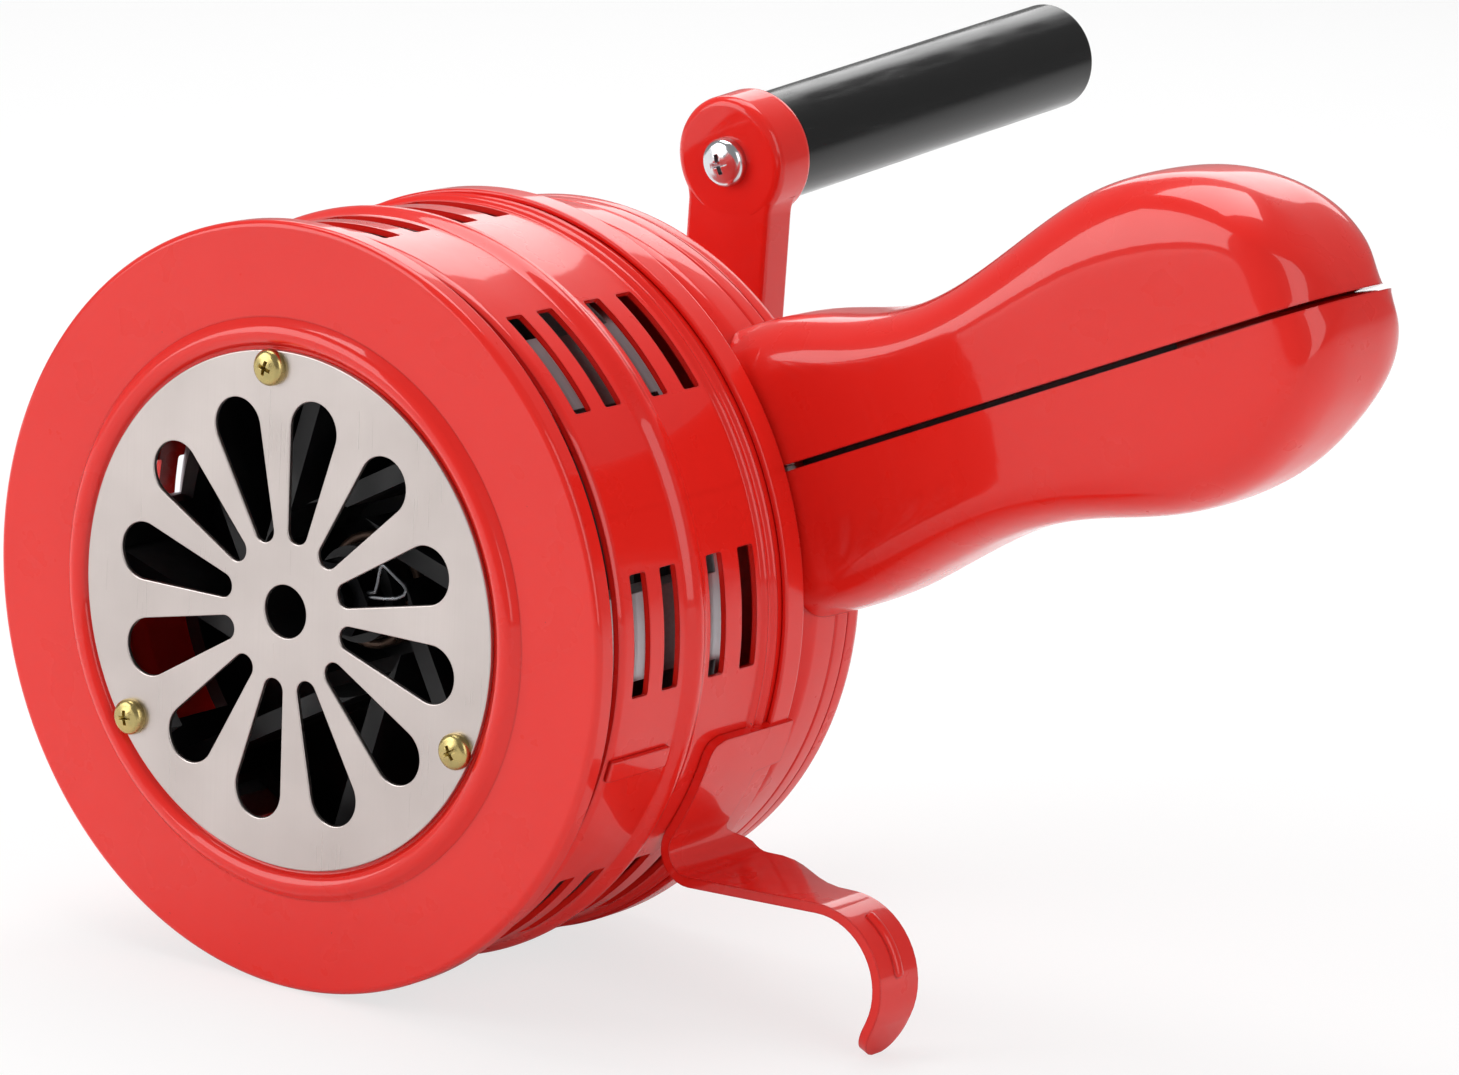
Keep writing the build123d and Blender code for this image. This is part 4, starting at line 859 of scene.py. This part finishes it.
section += arc((BOSS_RADIUS - BOSS_ROUND, BOSS_END - BOSS_ROUND), BOSS_ROUND, 0.0, 90.0, 5)
section += [(BUSH_RADIUS, BOSS_END)]
cap = spun("gear_cap_casting", section)
hand_over(cap, cast_enamel, "housing", ["gear_cap"], smooth=40.0)

# %% Cap screws
CAP_SCREW_CIRCLE = 42.6
CAP_SCREW_ANGLES = (68.3, 158.3, 248.3, 338.3)
CAP_SCREW = (2.7, 1.9, 1.45, 11.0)
screws = screw_ring("gear_cap_screw_heads", pan_screw("cap_screw", *CAP_SCREW), CAP_SCREW_CIRCLE, CAP_END,
                    {angle: (0, 0, 180) for angle in CAP_SCREW_ANGLES})
hand_over(screws, plain_zinc, "housing", ["gear_cap_screws"])

# %% [markdown]
# ## Crank arm and handle
# The arm is a casting: a flat bar that widens in two small fillets into a round eye, with a hub at the other
# end. The bar's outline is drawn as one line of extruded points, filled and given its thickness. Bar, eye and
# hub have their rims rounded before they are joined, so that no rounding is held back by a short edge. The
# handle is a moulded tube that turns on its spindle; its ends are rounded and the far one has a shallow dish.

# %% Outline of the crank arm
ARM_ANGLE = 88.0
ARM_HALF_WIDTH = 7.6
NECK_FILLET = 5.0
EYE_RADIUS = 53.3              # from the drum axis to the middle of the eye
EYE_SIZE = 9.7
fillet_z = ARM_HALF_WIDTH + NECK_FILLET
fillet_x = EYE_RADIUS - math.sqrt((EYE_SIZE + NECK_FILLET) ** 2 - fillet_z ** 2)
fillet_end = 270.0 + math.degrees(math.atan2(EYE_RADIUS - fillet_x, fillet_z))
side = [(0.0, ARM_HALF_WIDTH)] + arc((fillet_x, fillet_z), NECK_FILLET, 270.0, fillet_end, 6)
side.append((side[-1][0] + 1.2, side[-1][1] - 0.4))
outline = side + [(x, -z) for x, z in reversed(side)]
print("arm outline points", len(outline), "fillet starts at mm", round(fillet_x, 1))

# %% Crank arm
ARM_FRONT = 94.05
ARM_THICKNESS = 6.35
RIM_ROUND = 1.5
EYE_MIDDLE = 97.55
EYE_THICKNESS = 8.5
EYE_LEAN = 5.0                 # the handle leans outwards, and the eye with it
HUB_FRONT = 92.6
HUB_SIZE = 11.0
HUB_THICKNESS = 9.2
SHAFT_HOLE = 4.05
SCREW_HOLE = 2.1
HOLE_DEPTH = 20.0
at_arm = Matrix.Rotation(math.radians(-ARM_ANGLE), 4, "Y")
eye_place = Matrix.Translation((EYE_RADIUS * MM, EYE_MIDDLE * MM, 0))
leaning = eye_place @ Matrix.Rotation(math.radians(-EYE_LEAN), 4, "Z")
at_eye = at_arm @ leaning
arm = drawn("crank_arm_casting", [(x, ARM_FRONT, z) for x, z in outline + outline[:1]])
bpy.ops.mesh.select_all(action="SELECT")
bpy.ops.mesh.remove_doubles(threshold=SAME_POINT)
bpy.ops.mesh.edge_face_add()
extrude((0, ARM_THICKNESS, 0))
face_outwards(arm)
break_edges(arm, RIM_ROUND, 5, 60.0)
eye = disc(EYE_SIZE, EYE_THICKNESS, 0, 0, 0, 128)
break_edges(eye, RIM_ROUND, 5, 60.0)
eye.matrix_world = leaning
hub = disc(HUB_SIZE, HUB_THICKNESS, 0, HUB_FRONT + HUB_THICKNESS / 2, 0, 128)
break_edges(hub, RIM_ROUND, 5, 60.0)
combine(arm, eye, "UNION")
combine(arm, hub, "UNION")
combine(arm, disc(SHAFT_HOLE, HOLE_DEPTH, 0, HUB_FRONT, 0, 48), "DIFFERENCE")
hole = disc(SCREW_HOLE, HOLE_DEPTH, 0, 0, 0, 32)
hole.matrix_world = leaning
combine(arm, hole, "DIFFERENCE")
arm.matrix_world = at_arm
hand_over(arm, cast_enamel, "crank", ["crank_arm"], smooth=35.0)

# %% Screw in the crank's eye
EYE_SCREW = (3.7, 2.4, 1.95, 22.0)
EYE_SCREW_TURN = 70.0
eye_screw = pan_screw("handle_screw_chrome", *EYE_SCREW)
eye_screw.rotation_euler = (0, math.radians(EYE_SCREW_TURN), 0)
eye_screw.location = (0, -EYE_THICKNESS / 2 * MM, 0)
apply_place(eye_screw)
eye_screw.matrix_world = at_eye
hand_over(eye_screw, nickel_chrome, "crank", ["handle_screw"])

# %% Handle
HANDLE_START = EYE_THICKNESS / 2 + 0.4
HANDLE_LENGTH = 75.0
HANDLE_RADIUS = 8.25
HANDLE_ROUND = 1.25
COLLAR_ROOM = (5.9, 1.5)       # radius and depth of the sink over the spindle's collar
SPINDLE_BORE = (4.05, 67.0)
DISH_RIM = 2.6
DISH_DEPTH = 0.5
handle = disc(HANDLE_RADIUS, HANDLE_LENGTH, 0, HANDLE_START + HANDLE_LENGTH / 2, 0, 128)
handle.name = "handle_moulding"
for radius, depth in (COLLAR_ROOM, SPINDLE_BORE):
    combine(handle, disc(radius, 2 * depth, 0, HANDLE_START, 0, 64), "DIFFERENCE")
end_y = (HANDLE_START + HANDLE_LENGTH) * MM
edit(handle, "FACE", lambda middle: abs(middle.y - end_y) < 0.01 * MM)
bpy.ops.mesh.inset(thickness=DISH_RIM * MM)
bpy.ops.transform.translate(value=(0, -DISH_DEPTH * MM, 0))
bpy.ops.object.mode_set(mode="OBJECT")
modify(handle, "BEVEL", width=HANDLE_ROUND * MM, segments=5, limit_method="ANGLE",
       angle_limit=math.radians(50), use_clamp_overlap=True)
handle.matrix_world = at_eye
hand_over(handle, black_abs, "handle", ["crank_handle"], smooth=35.0)

# %% [markdown]
# ## Grip
# Two die-cast half shells with a see-through line between them. The outline of each half was read along the
# grip: how far its ridge stands from the seam at each distance from the drum axis. A half starts as a
# rectangle with two rounded corners, which is extruded from station to station and scaled to the outline.
# A subdivision surface then makes one flowing skin, as the wax pattern of such a casting is. Three screws
# close the grip from below. The photograph shows no holes at the outer two, so they are filled and painted
# over, and only the middle hole is open. A flat tongue inside the seam keeps it dark towards the end.

# %% Grip outline
GRIP_ANGLE = 23.3
GRIP_MIDDLE_Y = 59.4
GRIP_HALF_DEPTH = 13.0
GRIP_CORNER = 9.5
SEAM = 0.45                    # half of the gap between the shells
UPPER_LINE = [(43.5, 21.4), (56.0, 21.2), (66.0, 18.0), (76.0, 16.4), (85.5, 17.3), (96.0, 20.2),
              (105.7, 23.2), (114.5, 24.7), (124.5, 23.7), (132.5, 20.8), (138.4, 16.4)]
LOWER_LINE = [(43.5, 21.6), (56.0, 22.2), (66.0, 20.4), (76.0, 18.6), (86.0, 17.9), (96.3, 19.0),
              (106.4, 21.6), (115.5, 22.7), (125.0, 21.6), (132.5, 18.7), (139.4, 14.2)]
UPPER_END = 145.0
LOWER_END = 146.1
# The end's stations: share of the way to the end, share of the last height, share of the depth.
END_STATIONS = [(0.42, 0.76, 0.90), (0.76, 0.50, 0.72), (0.95, 0.27, 0.50), (1.0, 0.10, 0.26)]


def grip_half(name, line, end):
    """One closed half of the grip along +X in mm, with its ridge towards +Z and its seam at z = SEAM."""
    deselect()
    start_x, start_height = line[0]
    bpy.ops.mesh.primitive_plane_add(size=1.0, location=(start_x * MM, 0, (SEAM + start_height) / 2 * MM),
                                     rotation=(0, math.radians(90), 0))
    half = bpy.context.object
    half.name = name
    half.scale = ((start_height - SEAM) * MM, 2 * GRIP_HALF_DEPTH * MM, 1.0)
    apply_place(half)
    edit(half, "VERT", lambda point: point.z > start_height * 0.6 * MM)
    bpy.ops.mesh.bevel(offset=GRIP_CORNER * MM, segments=5, affect="VERTICES", profile=0.5)
    bpy.ops.mesh.select_all(action="SELECT")
    seam_point = Vector((0, 0, SEAM * MM))
    height, depth, place = start_height - SEAM, 1.0, start_x
    stations = [(x, h, 1.0) for x, h in line[1:]]
    last_x, last_h = line[-1]
    for share, drop, narrow in END_STATIONS:
        stations.append((last_x + (end - last_x) * share, last_h * drop, narrow))
    for x, h, share in stations:
        grow = (h - SEAM) / height
        extrude((x - place, 0, 0))
        bpy.ops.transform.resize(value=(1.0, share / depth, grow), center_override=seam_point)
        height, depth, place = h - SEAM, share, x
    face_outwards(half)
    creases = half.data.attributes.new("crease_edge", "FLOAT", "EDGE")
    for edge in half.data.edges:
        ends = [half.data.vertices[index].co for index in edge.vertices]
        on_seam = all(abs(point.z - SEAM * MM) < 0.01 * MM for point in ends)
        at_root = all(abs(point.x - start_x * MM) < 0.01 * MM for point in ends)
        creases.data[edge.index].value = 1.0 if on_seam or at_root else 0.0
    modify(half, "SUBSURF", levels=3, render_levels=3)
    return half


upper = grip_half("grip_upper_shell", UPPER_LINE, UPPER_END)
lower = grip_half("grip_lower_shell", LOWER_LINE, LOWER_END)
print("grip halves", len(upper.data.polygons), len(lower.data.polygons))

# %% Seat the grip on the drum
SEAT_FRONT = 40.0
SEAT_GAP = 0.1
SEAT_RADIUS = CASE_RADIUS + 0.12
lower.scale = (1, 1, -1)
apply_place(lower)
face_outwards(lower)
seat_end = CAP_END + SEAT_GAP
for half in (upper, lower):
    half.location = (0, GRIP_MIDDLE_Y * MM, 0)
    apply_place(half)
    seat = disc(SEAT_RADIUS, seat_end - SEAT_FRONT, 0, (seat_end + SEAT_FRONT) / 2, 0, TURN_STEPS)
    combine(half, seat, "DIFFERENCE")
print("grip seat radius mm", SEAT_RADIUS)

# %% Screw sink and tongue
SINK_PLACE = (102.0, GRIP_MIDDLE_Y, -22.0)
SINK_RADIUS = 3.1
SINK_DEPTH = 20
TONGUE_START = 117.0
TONGUE_SHARES = (0.96, 0.6, 0.08)       # the tongue is the upper shell's end, drawn in and flattened
TONGUE_MIDDLE = 130.0
TONGUE_MOVE = (0, 3.0, -0.6)
deselect()
bpy.ops.mesh.primitive_cylinder_add(vertices=48, radius=SINK_RADIUS * MM, depth=SINK_DEPTH * MM,
                                    location=[value * MM for value in SINK_PLACE])
combine(lower, bpy.context.object, "DIFFERENCE")
tongue = copied(upper, (0, 0, 0))
edit(tongue)
bpy.ops.mesh.bisect(plane_co=(TONGUE_START * MM, 0, 0), plane_no=(1, 0, 0), clear_inner=True, use_fill=True)
bpy.ops.mesh.select_all(action="SELECT")
bpy.ops.transform.resize(value=TONGUE_SHARES, center_override=(TONGUE_MIDDLE * MM, GRIP_MIDDLE_Y * MM, 0))
bpy.ops.transform.translate(value=[value * MM for value in TONGUE_MOVE])
bpy.ops.object.mode_set(mode="OBJECT")
face_outwards(tongue)
lower = joined([lower, tongue], "grip_lower_shell")
for half, node_name in ((upper, "grip_upper"), (lower, "grip_lower")):
    break_edges(half, 0.35, 2, 40.0)
    half.rotation_euler = (0, math.radians(-GRIP_ANGLE), 0)
    hand_over(half, cast_enamel, "housing", [node_name], smooth=40.0)

# %% [markdown]
# ## Hook
# A strap of 1.5 mm steel is spot-welded to the casing, bent away from it and curled, so that a belt can pass
# behind it. It starts as one edge across the strap. The edge is spun round the drum, spun back round the
# bend, extruded along the run and spun round the curl; then the rear edge is drawn in to the photographed
# outline, and the sheet gets its thickness.

# %% Hook strip
HOOK_SHEET = 1.5
HOOK_FRONT = 27.9
HOOK_TOP = -15.6               # angles on the drum where the strap starts and where it leaves
HOOK_LEAVE = -32.8
HOOK_BEND = 3.4
HOOK_RISE = 2.3
HOOK_RUN = 22.4
HOOK_CURL = 9.7
CURL_END = -25.0
HOOK_LOW = -54.95              # the tip's end, on the same surface as the drum
FLARE_WIDTH = 18.8
COLUMNS = 12
RUN_ROWS = 8
TIP_ROWS = 14
STRAP_RADIUS = BAND_RADIUS + 0.1 + HOOK_SHEET

top_x, top_z = polar(STRAP_RADIUS, HOOK_TOP)
hook = one_point("hook_strap", top_x, HOOK_FRONT, top_z)
extrude((0, FLARE_WIDTH / COLUMNS, 0), COLUMNS)
bpy.ops.mesh.select_all(action="SELECT")
bpy.ops.mesh.spin(steps=24, angle=math.radians(HOOK_TOP - HOOK_LEAVE), center=(0, 0, 0), axis=(0, -1, 0))
bend_x, bend_z = polar(STRAP_RADIUS + HOOK_BEND, HOOK_LEAVE)
bend_turn = 270 + HOOK_RISE - (HOOK_LEAVE + 180)
bpy.ops.mesh.spin(steps=10, angle=math.radians(bend_turn), center=(bend_x * MM, 0, bend_z * MM),
                  axis=(0, 1, 0))
run_x, run_z = polar(HOOK_RUN, HOOK_RISE)
extrude((run_x / RUN_ROWS, 0, run_z / RUN_ROWS), RUN_ROWS)
low_x, low_z = polar(HOOK_BEND, 270 + HOOK_RISE)
down_x, down_z = polar(HOOK_CURL + HOOK_SHEET, HOOK_RISE - 90)
curl_x = bend_x + low_x + run_x + down_x
curl_z = bend_z + low_z + run_z + down_z
curl_turn = 90 + HOOK_RISE - CURL_END
bpy.ops.mesh.spin(steps=16, angle=math.radians(curl_turn), center=(curl_x * MM, 0, curl_z * MM),
                  axis=(0, -1, 0))
tip_x, tip_z = polar(1.0, CURL_END - 90)
end_z = polar(HOOK_CURL + HOOK_SHEET, CURL_END)[1]
tip_length = (curl_z + end_z - HOOK_LOW) / -tip_z
extrude((tip_x * tip_length / TIP_ROWS, 0, tip_z * tip_length / TIP_ROWS), TIP_ROWS)
bpy.ops.object.mode_set(mode="OBJECT")
apply_place(hook)
print("hook strip", len(hook.data.vertices), "curl centre", round(curl_x, 2), round(curl_z, 2))

# %% Hook outline
STRAP_WIDTH = 13.2
REAR_CORNER = 3.5
FRONT_CORNER = 2.6
CORNER_LENGTH = 5.0            # length over which the top's rear corner is rounded
WIDENING_LENGTH = 3.6          # length over which the strap widens to its flare
NARROWING = 9.9                # from the flare to the curl, and the length that it takes
NARROWING_LENGTH = 20.0
FLARE_END = bend_x + 1.5
TIP_SIDE = 70.0                # the tip lies beyond this x
TIP_START = -50.9
TIP_LENGTH = 4.1
TIP_ROUND = 4.0


def soft_step(share):
    """Runs from 0 to 1 with soft ends."""
    return 3 * share ** 2 - 2 * share ** 3


def rear_width(x, z):
    """Width of the strap in mm at a point of its path."""
    on_drum = z > bend_z - 0.5 and x < bend_x
    if on_drum and z > bend_z + 1.0:
        corner = max(0.0, z - (top_z - CORNER_LENGTH)) / CORNER_LENGTH
        return STRAP_WIDTH - REAR_CORNER * (1 - math.sqrt(max(0.0, 1 - corner ** 2)))
    if x < FLARE_END:
        share = min(1.0, max(0.0, (bend_z + 1.0 - z) / WIDENING_LENGTH))
        return STRAP_WIDTH + (FLARE_WIDTH - STRAP_WIDTH) * soft_step(share)
    return FLARE_WIDTH - NARROWING * soft_step(min(1.0, (x - FLARE_END) / NARROWING_LENGTH))


for vertex in hook.data.vertices:
    x, y, z = (value / MM for value in vertex.co)
    share = (y - HOOK_FRONT) / FLARE_WIDTH
    width = rear_width(x, z)
    front = 0.0
    if z < TIP_START and x > TIP_SIDE:
        drop = (TIP_START - z) / TIP_LENGTH
        front = TIP_ROUND * (1 - math.sqrt(max(0.02, 1 - drop ** 2)))
        width -= front
    elif z > top_z - FRONT_CORNER:
        rise = (z - top_z + FRONT_CORNER) / FRONT_CORNER
        front = FRONT_CORNER * (1 - math.sqrt(max(0.0, 1 - rise ** 2)))
    vertex.co.y = (HOOK_FRONT + front + share * (width - front)) * MM
modify(hook, "SOLIDIFY", thickness=HOOK_SHEET * MM, offset=1.0)
face_outwards(hook)

# %% Hook rib and edges
RIB_RADIUS = 1.0
RIB_START = 62.0
RIB_SWEEP = 52.0
RIB_Y = HOOK_FRONT + 4.4
rib_x, rib_z = polar(HOOK_CURL + HOOK_SHEET - 0.35, RIB_START)
deselect()
bpy.ops.mesh.primitive_circle_add(vertices=20, radius=RIB_RADIUS * MM, fill_type="NOTHING",
                                  location=((curl_x + rib_x) * MM, RIB_Y * MM, (curl_z + rib_z) * MM),
                                  rotation=(0, math.radians(-RIB_START), 0))
rib = bpy.context.object
apply_place(rib)
edit(rib)
bpy.ops.mesh.spin(steps=16, angle=math.radians(RIB_SWEEP), center=(curl_x * MM, 0, curl_z * MM),
                  axis=(0, -1, 0))
bpy.ops.mesh.select_all(action="SELECT")
bpy.ops.mesh.fill_holes(sides=0)
face_outwards(rib)
break_edges(rib, 0.7, 4, 50.0)
break_edges(hook, 0.4, 3, 50.0)
hook = joined([hook, rib], "hook_strap")
hand_over(hook, sheet_enamel, "housing", ["hook"], smooth=45.0)

# %% [markdown]
# ## Lock wire
# A bright loop of 0.6 mm wire keeps the rotor's nut from turning. It shows through one teardrop, so it is
# drawn point by point from the photograph, as edges that a bevel makes round.

# %% Lock wire on the rotor's nut
LOCK_WIRE = [(4.6, 1.5), (6.2, 1.9), (6.6, 3.2), (7.1, 5.6), (7.5, 6.0), (8.0, 5.8), (11.4, 3.8),
             (11.9, 3.2), (11.5, 2.4), (10.2, 1.7), (8.2, 1.3), (6.5, 1.1), (4.6, 0.9)]
LOCK_WIRE_Y = 9.0
LOCK_WIRE_RADIUS = 0.3
wire = drawn("lock_wire", [(x, LOCK_WIRE_Y, z) for x, z in LOCK_WIRE])
only(wire)
bpy.ops.object.convert(target="CURVE")
wire = bpy.context.object
wire.data.bevel_depth = LOCK_WIRE_RADIUS * MM
wire.data.bevel_resolution = 4
wire.data.use_fill_caps = True
bpy.ops.object.convert(target="MESH")
wire = bpy.context.object
hand_over(wire, plain_zinc, "rotor", smooth=60.0, flats=False)

# %% [markdown]
# ## What the frame carries over
# The pieces inside keep their solids: the stator behind the slots, the rotor behind the grille, the gears,
# shafts and bearings. Each gets its own finish.

# %% Finishes on the carried nodes
CARRIED = [
    (cast_aluminium, ["stator"]),
    (black_enamel, ["rotor"]),
    (blackened_steel, ["rotor_nut", "rotor_shaft"]),
    (browned_wire, ["hub_spring"]),
    (machined_steel, ["rotor_pinion", "rotor_bearings", "bearing_inner_rings", "layshaft_pin",
                      "intermediate_gear", "crank_gear", "crank_gear_pin", "crank_shaft", "handle_spindle"]),
    (plain_zinc, ["drum_screws", "crank_washers", "crank_nut", "grip_screws", "bracket_screws"]),
    (bronze, ["crank_bushes"]),
    (grey_primer, ["grip_bracket"]),
]
for finish, names in CARRIED:
    for name in names:
        mesh = nodes[name].data
        mesh.materials.clear()
        mesh.materials.append(finish)
print("carried nodes", sum(len(names) for finish, names in CARRIED))
